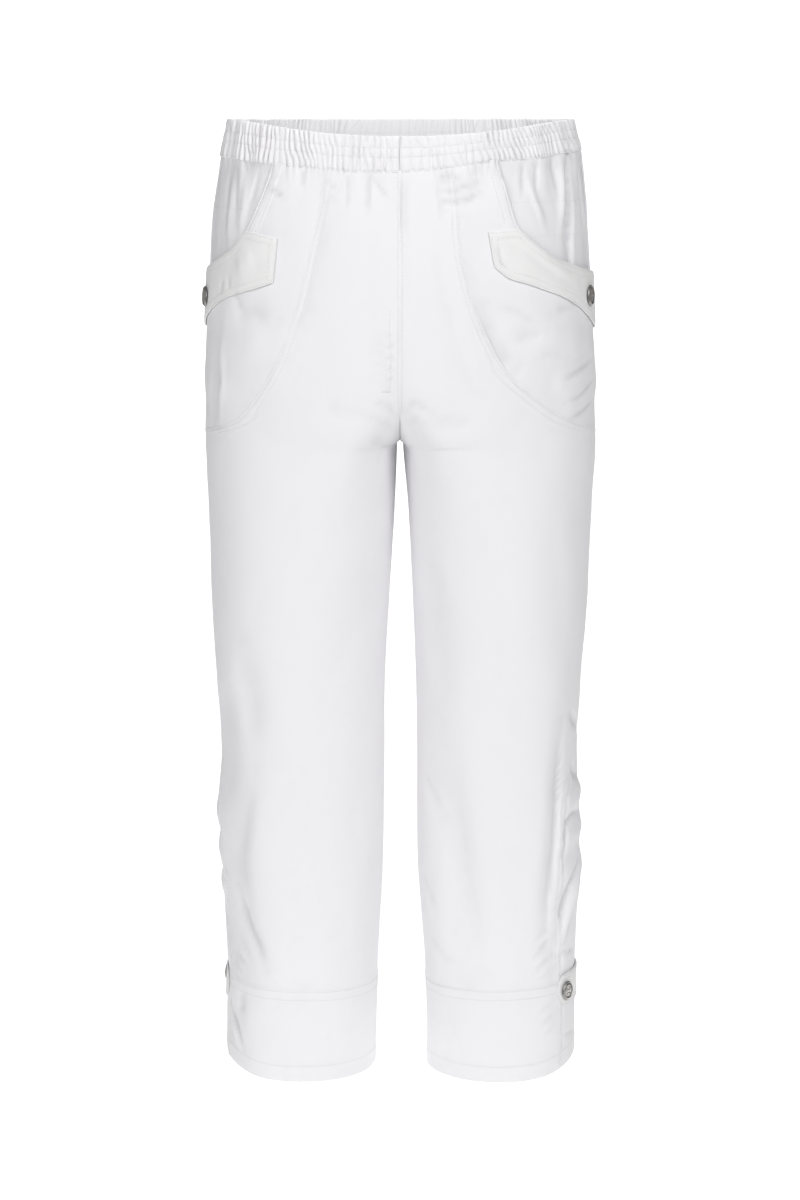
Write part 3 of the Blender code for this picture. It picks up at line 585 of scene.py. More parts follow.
class Drape:
    """The surface that all the cloth of one half of the trousers follows."""

    def __init__(self, side: Side) -> None:
        """Keep the side and its columns of the tables."""
        self.side = side
        self.sign = side.value
        left = side is L
        self.outer_column = OUTER_LEFT if left else OUTER_RIGHT
        self.inner_column = INNER_LEFT if left else INNER_RIGHT
        self.bottom_column = BOTTOM_LEFT if left else BOTTOM_RIGHT
        self.flute_column = FLUTE_LEFT if left else FLUTE_RIGHT
        self.seed = 40 if left else 10

    def section(self, column: int, z: Array) -> Array:
        """Read one column of the section table at the heights z."""
        return read_curve(SECTIONS[:, 0], SECTIONS[:, column], z)

    def body(self, u: Array, z: Array) -> Array:
        """Give the unfolded surface: one ring at the hips, one for each leg.

        A section is an outer half ellipse about the leg's middle, with slightly squared
        corners, and an inner arc from there to the inseam or, above the crotch, to the centre
        seam.  Between the two the middle moves from the leg's axis to the body's.

        Args:
            u, z: the places.

        Returns:
            The points, with x, y and z on the last axis.
        """
        u, z = np.broadcast_arrays(np.asarray(u, float), np.asarray(z, float))
        outer, inner = self.section(self.outer_column, z), self.section(self.inner_column, z)
        depth = np.where(u <= 0.5, self.section(FRONT_DEPTH, z), self.section(BACK_DEPTH, z))
        below = np.clip((CROTCH_Z - z) / ARCH_HEIGHT, 0.0, 1.0)
        arch = inner * np.sqrt(1 - (1 - below) ** 2)
        merged = smoothstep(MERGE_LOW, MERGE_HIGH, z)
        corner = CORNER_LEG + (CORNER_BODY - CORNER_LEG) * merged
        middle = (outer + inner) / 2 * (1 - merged)

        rise = np.clip((z - CROTCH_Z) / CROTCH_RISE, 0.0, 1.0)
        start_cosine = np.maximum(1 - rise, MIN_COSINE)
        start = np.arccos(start_cosine)
        inner_half = np.where(z < CROTCH_Z, middle - arch, middle / start_cosine ** corner)
        inner_run = np.hypot(middle - arch, depth * (1 - np.sin(start) ** corner))
        outer_run = math.pi / 2 * np.hypot(outer - middle, depth) / math.sqrt(2)
        half_u = np.where(u <= 0.5, u, 1 - u)
        turn = np.maximum(0.5 * inner_run / (inner_run + outer_run), MIN_COSINE ** 2)
        inwards = start + (math.pi / 2 - start) * np.minimum(half_u / turn, 1.0)
        outwards = math.pi / 2 * (1 + np.clip((half_u - turn) / (0.5 - turn), 0.0, 1.0))
        angle = np.where(half_u < turn, inwards, outwards)

        cosine = np.cos(angle)
        half = np.where(cosine > 0, inner_half, outer - middle)
        x = middle - half * np.sign(cosine) * np.abs(cosine) ** corner
        y = depth * np.abs(np.sin(angle)) ** corner * np.where(u <= 0.5, -1, 1)
        return np.stack([self.sign * np.maximum(x, 0.0), y, z], axis=-1)

    def outward(self, u: Array, z: Array) -> Array:
        """Give the surface's unit normal, pointing out of the garment."""
        around = self.body(np.minimum(u + PROBE, 1), z) - self.body(np.maximum(u - PROBE, 0), z)
        down = self.body(u, z - PROBE) - self.body(u, z + PROBE)
        return unit(self.sign * np.cross(down, around))

    def band_bottom(self, u: Array) -> Array:
        """Give the height of the waistband's lower edge."""
        return read_curve(BAND[:, 0], BAND[:, self.bottom_column], u)

    def band_top(self, u: Array) -> Array:
        """Give the height of the waistband's upper edge, which dips at the centre front."""
        reach = np.clip(u / BAND_DIP_END, 0.0, 1.0) ** BAND_DIP_POWER
        return -BAND_DIP * np.cos(reach * math.pi / 2) ** 2

    def middle_fade(self, u: Array) -> Array:
        """Fade what is random to nothing at the centre seams and the inseam."""
        return smoothstep(0.0, CENTRE_FADE, u) * smoothstep(0.0, CENTRE_FADE, 1 - u)

    def gather(self, u: Array, share: Array) -> Array:
        """Give the gathers round the waist, |sin(pi * phase)|^GATHER_POWER times their height.

        They are round ridges with sharp valleys that lean and wander as they go down, of
        different heights, so no two are alike.  They are wider apart near the side, where a
        hyperbolic tangent in the phase takes some of them out.

        Args:
            u: places round the half.
            share: how far down the band they are, from 0 at its top to 1 at its bottom.

        Returns:
            The height, about 0 on the mean.
        """
        lean = GATHER_LEAN * (1 + LEANING.at(u, share, self.seed))
        wander = WANDER.at(u, share, self.seed) + SHORT_WANDER.at(u, share, self.seed)
        from_side = (u - EASED_U) / EASED_SPREAD
        wander = wander * (1 - EASED_STEADY / np.cosh(from_side) ** 2)
        shift = wander - self.sign * lean * share
        phase = GATHERS * u - GATHERS_EASED * np.tanh(from_side) + shift * self.middle_fade(u)
        height = GATHER_MEAN + GATHER_HEIGHT.at(u, share, self.seed)
        height = np.clip(height + SHORT_HEIGHT.at(u, share, self.seed), *GATHER_RANGE)
        rise = (1 - CENTRE_SHARE) * smoothstep(*CENTRE_SPREAD, u)
        height = height * (CENTRE_SHARE + rise * smoothstep(*CENTRE_SPREAD, 1 - u))
        for middle, width, lost in LIGHTLY_GATHERED[self.side]:
            height = height * (1 - lost * np.exp(-((u - middle) / width) ** 4))
        return height * (np.abs(np.sin(math.pi * phase)) ** GATHER_POWER - GATHER_MIDDLE)

    def flutes(self, u: Array, z: Array) -> Array:
        """Give the flutes under the waistband: regular ones, uneven ones and small pleats.

        Args:
            u, z: the places.

        Returns:
            The height they add to the cloth.
        """
        drop = np.maximum(self.band_bottom(u) - z, 0.0)
        depth = read_curve(BAND[:, 0], BAND[:, self.flute_column], u)
        regular = depth * np.exp(-drop / FLUTE_FADE) * np.cos(2 * math.pi * FLUTES * u)
        uneven = UNEVEN_FLUTES.at(u, drop, self.seed)
        uneven = uneven * np.exp(-(drop / UNEVEN_REACH) ** 2) * (1 - np.exp(-drop / 0.004))
        pleats = PLEAT_DEPTH * self.gather(u, 1 + drop / 0.03) * np.exp(-drop / PLEAT_REACH)
        pleats = pleats * (1 - 0.5 * np.exp(-drop / 0.0008))
        return regular + (uneven + pleats) * self.middle_fade(u)

    def rumple(self, u: Array, z: Array) -> Array:
        """Give the slow unevenness of worn cloth: long soft waves and a few shorter ones.

        Args:
            u, z: the places.

        Returns:
            The height it adds to the cloth.
        """
        across = u * GIRTH_PER_U
        slow = random_field(across * 17, z * 7, self.seed + 4)
        short = random_field(across * 52 + z * 9, z * 30, self.seed + 5)
        fine = random_field(across * 130, z * 95 + across * 20, self.seed + 6)
        waves = RUMPLES[0] * slow + RUMPLES[1] * short + RUMPLES[2] * fine
        return waves * self.middle_fade(u)

    def lift(self, u: Array, z: Array, layers: tuple[Layer, ...]) -> Array:
        """Add up the folds of the given layers, the flutes and the unevenness.

        Args:
            u, z: the places.
            layers: the layers whose folds count.

        Returns:
            The height, outwards.
        """
        height = self.flutes(u, z) + self.rumple(u, z)
        under_pocket = Layer.HIP in layers
        for fold in MAIN_FOLDS + CREASES:
            if fold.side is not self.side:
                continue
            if fold.layer in layers:
                height = height + fold_lift(fold, u, z)
            elif under_pocket and fold.layer is Layer.POCKET and fold.height < 0:
                below = smoothstep(0.0, 0.004, self.covered(u, z))
                height = height + fold_lift(fold, u, z) * below
        return height

    def covered(self, u: Array, z: Array) -> Array:
        """Tell how far below the pocket's opening a place on the hip is."""
        opening = OPENING[self.side]
        return read_curve(opening[:, 0], opening[:, 1], u) - z

    def lay(self, u: Array, z: Array, out: Array, layers: tuple[Layer, ...] = (BODY,)) -> Array:
        """Give the points at (u, z) of the draped cloth.

        Args:
            u, z: the places.
            out: how far they are moved outwards.
            layers: the layers whose folds they follow.

        Returns:
            The points, with x, y and z on the last axis.
        """
        lift = out + self.lift(u, z, layers)
        return self.body(u, z) + self.outward(u, z) * np.asarray(lift)[..., None]

    def keep_to_side(self, grid: Array, u: Array, z: Array) -> None:
        """Keep a grid of points on its own side, and its centre seams on the middle plane."""
        at_centre = ((u <= 0.0) | (u >= 1.0)) & (z > CROTCH_Z)
        away = np.maximum(self.sign * grid[..., 0], CENTRE_GAP)
        grid[..., 0] = self.sign * np.where(at_centre, CENTRE_GAP, away)

    def hollow(self, u: Array, z: Array, layers: tuple[Layer, ...]) -> Array:
        """Tell how far each place lies below the mean of the four places HOLLOW_REACH away.

        Args:
            u, z: the places.
            layers: the layers whose folds count.

        Returns:
            The depths, below 0 on a ridge; they set the painted shade in the folds.
        """
        step = HOLLOW_REACH / GIRTH_PER_U
        beside = self.lift(u + step, z, layers) + self.lift(u - step, z, layers)
        above = self.lift(u, z + HOLLOW_REACH, layers) + self.lift(u, z - HOLLOW_REACH, layers)
        return (beside + above) / 4 - self.lift(u, z, layers)

    def side_seam(self, z: Array) -> Array:
        """Give the side seam's places (u, z) at the heights z."""
        points = SIDE_SEAM[self.side]
        u = read_curve(points[:, 1], points[:, 0], np.clip(z, points[-1, 1], points[0, 1]))
        return np.stack([u, z], axis=-1)


@dataclass(frozen=True)
class SeamLook:
    """How the cloth lies along one edge of a piece: a dip into the seam, a welt of folded
    allowance, a groove under each stitch row, and puckers.  It holds from low to high in z.
    """

    rows: tuple[float, ...] = ()
    dip: float = 0.0007
    dip_width: float = 0.0011
    welt: float = 0.0
    welt_width: float = 0.0
    pucker: float = 0.0
    pucker_reach: float = 0.008
    low: float = -1.0
    high: float = 1.0
    groove: float = 0.00050

    def holds(self, z: Array) -> Array:
        """Tell, from 0 to 1, how far the look holds at the heights z."""
        return smoothstep(self.low - 0.003, self.low + 0.003, z) * smoothstep(
            -self.high - 0.003, -self.high + 0.003, -z)

    def relief(self, far: Array, along: Array, seed: int) -> Array:
        """Give the height at a distance far from the edge and a length along it.

        It is a bell-shaped dip at the edge, a level welt with a soft end, a narrow bell-shaped
        groove along each row, and a random field of short ridges across the seam that fades
        away from it.

        Args:
            far: the distances from the edge.
            along: the lengths along it.
            seed: the seed of the puckers.

        Returns:
            The height it adds to the cloth.
        """
        height = -self.dip * bump(far, 0.0, self.dip_width)
        if self.welt:
            end = self.welt_width
            height = height + self.welt * (1 - smoothstep(end - 0.0006, end + 0.0012, far))
        for row in self.rows:
            height = height - self.groove * bump(far, row, 0.0008)
        if self.pucker:
            ridges = random_field(along * 170, far * 90, seed)
            ridges = ridges + 0.6 * random_field(along * 330 + far * 60, far * 60, seed + 7)
            near = np.exp(-(far / self.pucker_reach) ** 2) * (1 - 0.5 * bump(far, 0.0, 0.001))
            height = height + self.pucker * ridges * near
        return height


EDGE_STEPS = np.array([0.0, 0.00025, 0.0006, 0.0011, 0.0017, 0.0024, 0.0033, 0.0043, 0.0053,
                       0.0062, 0.0072, 0.0085, 0.0100, 0.0120])
FEW_STEPS = np.array([0.0, 0.0003, 0.0008, 0.0016, 0.0030])


def spread(length: float, coarse: float, first: Array = EDGE_STEPS, last: Array = EDGE_STEPS) -> Array:
    """Give shares from 0 to 1 along a length: fine steps at both ends, even ones between.

    Args:
        length: the length.
        coarse: the even steps' size, at most.
        first, last: the fine steps from the start and the end.

    Returns:
        The shares.
    """
    middle = max(length - first[-1] - last[-1], 2 * coarse)
    count = int(math.ceil(middle / coarse))
    between = np.linspace(first[-1], length - last[-1], count + 1)[1:-1]
    return np.concatenate([first, between, (length - last)[::-1]]) / length


def spread_rows(lengths: Array, count: int, first: Array = EDGE_STEPS,
                last: Array = EDGE_STEPS) -> Array:
    """Give, for rows of different lengths, shares with fine steps of a fixed size at both ends.

    Where a row is too short for them, the steps shrink with it.

    Args:
        lengths: the rows' lengths.
        count: how many even steps stand between the fine ones.
        first: the fine steps from the start.
        last: the fine steps from the end.

    Returns:
        The shares, one row for each length.
    """
    squeeze = np.minimum(1.0, 0.44 * lengths / max(first[-1], last[-1]))[:, None]
    head = first[None, :] * squeeze / lengths[:, None]
    tail = 1 - last[None, ::-1] * squeeze / lengths[:, None]
    between = np.linspace(0.0, 1.0, count + 2)[None, 1:-1]
    between = head[:, -1:] + (tail[:, :1] - head[:, -1:]) * between
    return np.concatenate([head, between, tail], axis=1)


def ruled(start: Array, end: Array, share: Array) -> Array:
    """Fill the patch between two edges (u, z) with straight rows, at each row's own shares."""
    return start[:, None, :] * (1 - share[..., None]) + end[:, None, :] * share[..., None]


def row_lengths(start: Array, end: Array) -> Array:
    """Give about how long each row between two edges is on the cloth."""
    return np.hypot((end[:, 0] - start[:, 0]) * GIRTH_PER_U, end[:, 1] - start[:, 1])


def from_start(points: Array) -> Array:
    """Give each point's distance from its grid's first column, square to that edge.

    It is the length along the row, times the sine of the angle between row and edge.

    Args:
        points: rows x columns x 3.

    Returns:
        The distances, rows x columns.
    """
    steps = np.linalg.norm(np.diff(points, axis=1), axis=-1)
    length = np.concatenate([np.zeros((len(points), 1)), np.cumsum(steps, axis=1)], axis=1)
    edge = unit(np.gradient(points[:, 0], axis=0))
    row = unit(points[:, min(4, points.shape[1] - 1)] - points[:, 0])
    lean = np.linalg.norm(np.cross(edge, row), axis=-1)
    return length * np.clip(lean, 0.25, 1.0)[:, None]


def edge_distances(points: Array) -> dict[Edge, Array]:
    """Give each point's distance from the four edges of its grid.

    Args:
        points: rows x columns x 3.

    Returns:
        The distances, rows x columns, for each edge.
    """
    turned = points.swapaxes(0, 1)
    return {
        Edge.START: from_start(points),
        Edge.END: from_start(points[:, ::-1])[:, ::-1],
        Edge.TOP: from_start(turned).T,
        Edge.BOTTOM: from_start(turned[:, ::-1])[:, ::-1].T,
    }


def border_places(rows: int, columns: int) -> tuple[Array, Array]:
    """Give the rows and columns of the points round a grid's border, in order."""
    across, down = np.arange(columns), np.arange(1, rows - 1)
    row = np.concatenate([0 * across, down, 0 * across + rows - 1, down[::-1]])
    column = np.concatenate([across, 0 * down + columns - 1, across[::-1], 0 * down])
    return row, column


def grid_quads(rows: int, columns: int, start: int = 0) -> Array:
    """List the quads of a grid of points whose first has the given index."""
    index = start + np.arange(rows * columns).reshape(rows, columns)
    corners = (index[:-1, :-1], index[:-1, 1:], index[1:, 1:], index[1:, :-1])
    return np.stack(corners, axis=-1).reshape(-1, 4)


def tube_faces(rings: int, around: int) -> tuple[Array, Array]:
    """List the faces of stacked rings of points, followed by one point for each end.

    Args:
        rings: the number of rings.
        around: the number of points on each.

    Returns:
        The quads between the rings, and the triangles from the end rings to the end points.
    """
    index = np.arange(rings * around).reshape(rings, around)
    beside = np.roll(index, -1, axis=1)
    quads = np.stack([index[:-1], beside[:-1], beside[1:], index[1:]], axis=-1).reshape(-1, 4)
    end = np.full(around, index.size)
    first = np.stack([beside[0], index[0], end], axis=-1)
    last = np.stack([index[-1], beside[-1], end + 1], axis=-1)
    return quads, np.concatenate([first, last])


def make_mesh(name: str, points: Array, quads: Array, triangles: Array | None = None,
              grain: Array | None = None, sharp: float = 60.0) -> Thing:
    """Put whole arrays of points and faces into a new smooth mesh object.

    Args:
        name: the object's name.
        points: all points, n x 3.
        quads: four point indices for each four-sided face.
        triangles: three point indices for each three-sided face, if any.
        grain: the place of each point on the flat cloth in metres, n x 2, kept as a UV map.
        sharp: edges that turn by more than this many degrees stay sharp.

    Returns:
        The new object, at the origin.
    """
    triangles = np.zeros((0, 3), int) if triangles is None else triangles
    mesh = bpy.data.meshes.new(name)
    loops = np.concatenate([quads.reshape(-1), triangles.reshape(-1)]).astype(np.int32)
    sizes = np.concatenate([np.full(len(quads), 4), np.full(len(triangles), 3)])
    starts = np.concatenate([[0], np.cumsum(sizes)[:-1]]).astype(np.int32)
    mesh.vertices.add(len(points))
    mesh.vertices.foreach_set("co", np.ascontiguousarray(points, np.float32).reshape(-1))
    mesh.loops.add(len(loops))
    mesh.loops.foreach_set("vertex_index", loops)
    mesh.polygons.add(len(sizes))
    mesh.polygons.foreach_set("loop_start", starts)
    mesh.update(calc_edges=True)
    mesh.validate()
    if grain is not None:
        layer = mesh.uv_layers.new(name="grain")
        layer.uv.foreach_set("vector", grain[loops].astype(np.float32).reshape(-1))
    mesh.shade_smooth()
    mesh.set_sharp_from_angle(angle=math.radians(sharp))
    thing = bpy.data.objects.new(name, mesh)
    bpy.context.scene.collection.objects.link(thing)
    return thing


def make_shell(name: str, outer: Array, inner: Array, out: Array,
               grain: Array, hollow: Array | None = None) -> Thing:
    """Close an outer and an inner grid of points into one thin wall, faces pointing out.

    Args:
        name: the object's name.
        outer: the outside's points, rows x columns x 3.
        inner: the inside's points, the same shape.
        out: a direction out of the garment at the grid's middle point.
        grain: each point's place on the flat cloth, rows x columns x 2.
        hollow: how deep in a fold each point lies, in metres, kept as a share of FULL_HOLLOW; the
            material paints shade into the cloth's colour by it.

    Returns:
        The new object.
    """
    rows, columns = outer.shape[:2]
    size = rows * columns
    front = grid_quads(rows, columns)
    back = grid_quads(rows, columns, size)[:, ::-1]
    row, column = border_places(rows, columns)
    here = row * columns + column
    there = np.roll(here, -1)
    rim = np.stack([there, here, here + size, there + size], axis=-1)
    quads = np.concatenate([front, back, rim])
    i, j = rows // 2, columns // 2
    facing = np.cross(outer[i, j + 1] - outer[i, j], outer[i + 1, j] - outer[i, j])
    if np.dot(facing, out) < 0:
        quads = quads[:, ::-1]
    points = np.concatenate([outer.reshape(-1, 3), inner.reshape(-1, 3)])
    flat = np.concatenate([grain.reshape(-1, 2)] * 2)
    thing = make_mesh(name, points, quads, grain=flat)
    # The hollow attribute holds painted shade, which the material darkens the colour by.
    depth = np.zeros((rows, columns)) if hollow is None else np.clip(hollow / FULL_HOLLOW, 0, 1)
    values = np.concatenate([depth.reshape(-1)] * 2).astype(np.float32)
    thing.data.attributes.new("hollow", "FLOAT", "POINT").data.foreach_set("value", values)
    return thing


def grid_normals(points: Array, hint: Array) -> Array:
    """Give a grid's own unit normals, turned to the side that hint points to."""
    normals = unit(np.cross(np.gradient(points, axis=1), np.gradient(points, axis=0)))
    return normals * np.sign(np.sum(normals * hint, axis=-1, keepdims=True))


@dataclass
class Sewn:
    """A finished piece's outside: its points, normals and distances from its edges."""

    thing: Thing
    points: Array
    normals: Array
    far: dict[Edge, Array]

    def row_at(self, edge: Edge, offset: float) -> tuple[Array, Array]:
        """Trace the line at a fixed distance from one edge.

        Args:
            edge: the edge that the line follows.
            offset: the distance from it.

        Returns:
            The line's points and the cloth's normals there.
        """
        points, normals, far = self.points, self.normals, self.far[edge]
        if edge in (Edge.TOP, Edge.BOTTOM):
            points, normals, far = points.swapaxes(0, 1), normals.swapaxes(0, 1), far.T
        if edge in (Edge.END, Edge.BOTTOM):
            points, normals, far = points[:, ::-1], normals[:, ::-1], far[:, ::-1]
        line = np.arange(len(far))
        after = np.clip(np.sum(far < offset, axis=1), 1, far.shape[1] - 1)
        low, high = far[line, after - 1], far[line, after]
        share = np.clip((offset - low) / np.maximum(high - low, 1e-9), 0, 1)[:, None]
        place = points[line, after - 1] * (1 - share) + points[line, after] * share
        normal = normals[line, after - 1] * (1 - share) + normals[line, after] * share
        return place, unit(normal)


@dataclass
class Cut:
    """One cut piece: its patch of the drape, its cloth, and how each edge is sewn."""

    name: str
    drape: Drape
    patch: Array
    cloth: float = CLOTH
    out: float = 0.0
    layers: tuple[Layer, ...] = (BODY,)
    looks: dict[Edge, tuple[SeamLook, ...]] = field(default_factory=dict)
    puff: float = 0.0
    round_edge: float = 0.0005
    extra: Array | float = 0.0
    # shaded adds painted shade, as a depth in metres, to the hollow attribute.
    shaded: Array | float = 0.0
    seed: int = 0

    def relief(self, far: dict[Edge, Array]) -> Array:
        """Add up what the seams at all four edges do to the outside.

        Args:
            far: the distances from each edge.

        Returns:
            The height they add to the cloth.
        """
        z = self.patch[..., 1]
        height = np.zeros(z.shape) + self.extra
        for edge, looks in self.looks.items():
            along = far[Edge.TOP] if edge in (Edge.START, Edge.END) else far[Edge.START]
            for number, look in enumerate(looks):
                seed = self.seed + 13 * number + 3 * list(Edge).index(edge)
                height = height + look.relief(far[edge], along, seed) * look.holds(z)
        return height

    def sew(self) -> Sewn:
        """Make the piece: a wall with rounded edges, both faces on the drape's relief."""
        u, z = self.patch[..., 0], self.patch[..., 1]
        normals = self.drape.outward(u, z)
        middle = self.drape.lay(u, z, np.full(u.shape, self.out), self.layers)
        far = edge_distances(middle)
        nearest = np.minimum.reduce([far[edge] for edge in Edge])
        relief = self.relief(far) + self.puff * smoothstep(0.001, 0.010, nearest)
        near = np.clip(nearest / self.round_edge, 0.0, 1.0)
        half = self.cloth / 2 * (0.5 + 0.5 * np.sqrt(1 - (1 - near) ** 2))
        outer = middle + normals * (relief + half)[..., None]
        lining = np.minimum(relief, 0.0) + 0.8 * np.maximum(relief, 0.0)
        inner = middle + normals * (lining - half)[..., None]
        self.drape.keep_to_side(outer, u, z)
        self.drape.keep_to_side(inner, u, z)
        i, j = u.shape[0] // 2, u.shape[1] // 2
        grain = np.stack([u * GIRTH_PER_U, z], axis=-1)
        # Painted shade: the fold hollows, the seams' dips and grooves, and shaded darken the cloth's
        # colour.
        hollow = self.drape.hollow(u, z, self.layers) + 0.6 * np.maximum(-relief, 0.0) + self.shaded
        thing = make_shell(self.name + "_cloth", outer, inner, normals[i, j], grain, hollow)
        return Sewn(thing, outer, grid_normals(outer, normals), far)


def read_points(table: Array, length: Array, at: Array) -> Array:
    """Read points or directions that stand at given lengths of a line, at other lengths."""
    return np.stack([np.interp(at, length, table[:, k]) for k in range(3)], axis=-1)


@dataclass
class Thread:
    """Topstitching: many short stitches, gathered into one mesh for each part."""

    name: str
    radius: float = 0.00030
    length: float = 0.0025
    pitch: float = 0.0034
    centres: list[Array] = field(default_factory=list)
    frames: list[Array] = field(default_factory=list)

    def run(self, line: tuple[Array, Array], low: float = -2.0, high: float = 2.0,
            trim: float = 0.001) -> None:
        """Set stitches along a line on the cloth.

        Args:
            line: the line's points and normals.
            low: the lowest height that gets stitches.
            high: the highest height that gets stitches.
            trim: the length left bare at both ends.
        """
        points, normals = line
        steps = np.linalg.norm(np.diff(points, axis=0), axis=-1)
        length = np.concatenate([[0.0], np.cumsum(steps)])
        count = max(int((length[-1] - 2 * trim) / self.pitch), 1)
        at = trim + (np.arange(count) + 0.5) * (length[-1] - 2 * trim) / count
        centre, normal = read_points(points, length, at), unit(read_points(normals, length, at))
        reach = self.length / 2
        tangent = unit(read_points(points, length, at + reach)
                       - read_points(points, length, at - reach))
        normal = unit(normal - tangent * np.sum(normal * tangent, axis=-1, keepdims=True))
        keep = (centre[:, 2] >= low) & (centre[:, 2] <= high)
        self.centres.append(centre[keep] + normal[keep] * self.radius * 0.25)
        self.frames.append(np.stack([tangent, np.cross(normal, tangent), normal], axis=1)[keep])

    def tack(self, place: Array, across: Array, normal: Array, width: float) -> None:
        """Set a bar tack: stitches side by side across a seam's end.

        Args:
            place: the tack's middle.
            across: the direction across the seam.
            normal: the direction out of the cloth.
            width: how wide the tack is.
        """
        count = int(width / (2 * self.radius))
        shift = (np.arange(count) - (count - 1) / 2)[:, None] * 2 * self.radius
        down = np.cross(normal, across)
        self.centres.append(place + shift * across + normal * self.radius * 0.1)
        one = np.stack([down, np.cross(normal, down), normal])
        self.frames.append(np.broadcast_to(one, (count, 3, 3)))

    def make(self) -> Thing:
        """Make all the stitches: five-sided spindles that dip into the cloth at both ends.

        A spindle is three rings of five points, and a tip at each end below the middle line.
        """
        sides = 5
        stations = np.array([-0.62, 0.0, 0.62])
        thick = np.array([0.86, 1.0, 0.86])
        angle = np.arange(sides) * 2 * math.pi / sides
        ring = np.stack([
            np.broadcast_to(stations[:, None] * self.length / 2, (len(stations), sides)),
            thick[:, None] * np.cos(angle) * self.radius,
            thick[:, None] * np.sin(angle) * self.radius,
        ], axis=-1).reshape(-1, 3)
        tips = np.array([[-1.0, 0.0, 0.0], [1.0, 0.0, 0.0]]) * self.length / 2
        tips[:, 2] = -self.radius * 1.1
        shape = np.concatenate([ring, tips])
        quads, caps = tube_faces(len(stations), sides)
        centres, frames = np.concatenate(self.centres), np.concatenate(self.frames)
        points = centres[:, None, :] + np.einsum("pk,nkx->npx", shape, frames)
        step = (np.arange(len(centres)) * len(shape))[:, None, None]
        thing = make_mesh(self.name, points.reshape(-1, 3), (quads[None] + step).reshape(-1, 4),
                          (caps[None] + step).reshape(-1, 3), sharp=180.0)
        LOG.info("%s: %d stitches", self.name, len(centres))
        return thing


def math_method(operation: str, swapped: bool = False) -> Callable:
    """Write a method of Sock that adds one Math node.

    Args:
        operation: the node's operation.
        swapped: whether the other value comes first, as in 1 - sock.

    Returns:
        The method.
    """
    def method(self: "Sock", other: object = 0.0) -> "Sock":
        """Add the Math node and give its value."""
        first, second = (other, self) if swapped else (self, other)
        values = {0: first, 1: second}
        return self.finish.node("Math", {"operation": operation}, values)

    return method


class Sock:
    """A shader value: a node's output socket, with operators that add Math nodes."""

    def __init__(self, finish: "Finish", socket: bpy.types.NodeSocket) -> None:
        """Wrap one output socket of a finish's nodes."""
        self.finish = finish
        self.socket = socket

    __add__, __radd__ = math_method("ADD"), math_method("ADD", swapped=True)
    __sub__, __rsub__ = math_method("SUBTRACT"), math_method("SUBTRACT", swapped=True)
    __mul__, __rmul__ = math_method("MULTIPLY"), math_method("MULTIPLY", swapped=True)
    __truediv__ = math_method("DIVIDE")
    __abs__ = math_method("ABSOLUTE")
    sine = math_method("SINE")
    part = math_method("FRACT")


class Finish:
    """A procedural material under construction: its node tree and its Principled shader."""

    def __init__(self, name: str) -> None:
        """Start a material that has only its shader and output."""
        self.material = bpy.data.materials.new(name)
        self.material.use_nodes = True
        self.tree = self.material.node_tree
        self.shader = self.tree.nodes["Principled BSDF"]

    def node(self, kind: str, settings: dict, values: dict, output: object = 0) -> Sock:
        """Add a node.

        Args:
            kind: the node's type, without its first word, ShaderNode.
            settings: what is set on the node first.
            values: numbers, colours or Socks for its sockets, by name or number.
            output: the name or number of the output that is returned.

        Returns:
            The wrapped output socket.
        """
        node = self.tree.nodes.new("ShaderNode" + kind)
        for key, value in settings.items():
            setattr(node, key, value)
        for key, value in values.items():
            self.put(node.inputs[key], value)
        return Sock(self, node.outputs[output])

    def put(self, socket: bpy.types.NodeSocket, value: object) -> None:
        """Link a Sock to a socket, or set a plain value on it."""
        if isinstance(value, Sock):
            self.tree.links.new(value.socket, socket)
        else:
            socket.default_value = value

    def blend(self, share: Sock, a: object, b: tuple) -> Sock:
        """Mix two colours: a where share is 0, b where it is 1."""
        settings = {"data_type": "RGBA"}
        return self.node("Mix", settings, {"Factor": share, 6: a, 7: b}, output=2)

    def noise(self, vector: Sock, scale: float, detail: float = 2.0) -> Sock:
        """Add a Noise Texture and give its value, about 0 to 1."""
        values = {"Vector": vector, "Scale": scale, "Detail": detail, "Roughness": 0.55}
        return self.node("TexNoise", {}, values)

    def finish(self, **inputs: object) -> Material:
        """Set or link the shader's inputs, named with underscores, and give the material."""
        for name, value in inputs.items():
            self.put(self.shader.inputs[name.replace("_", " ")], value)
        return self.material


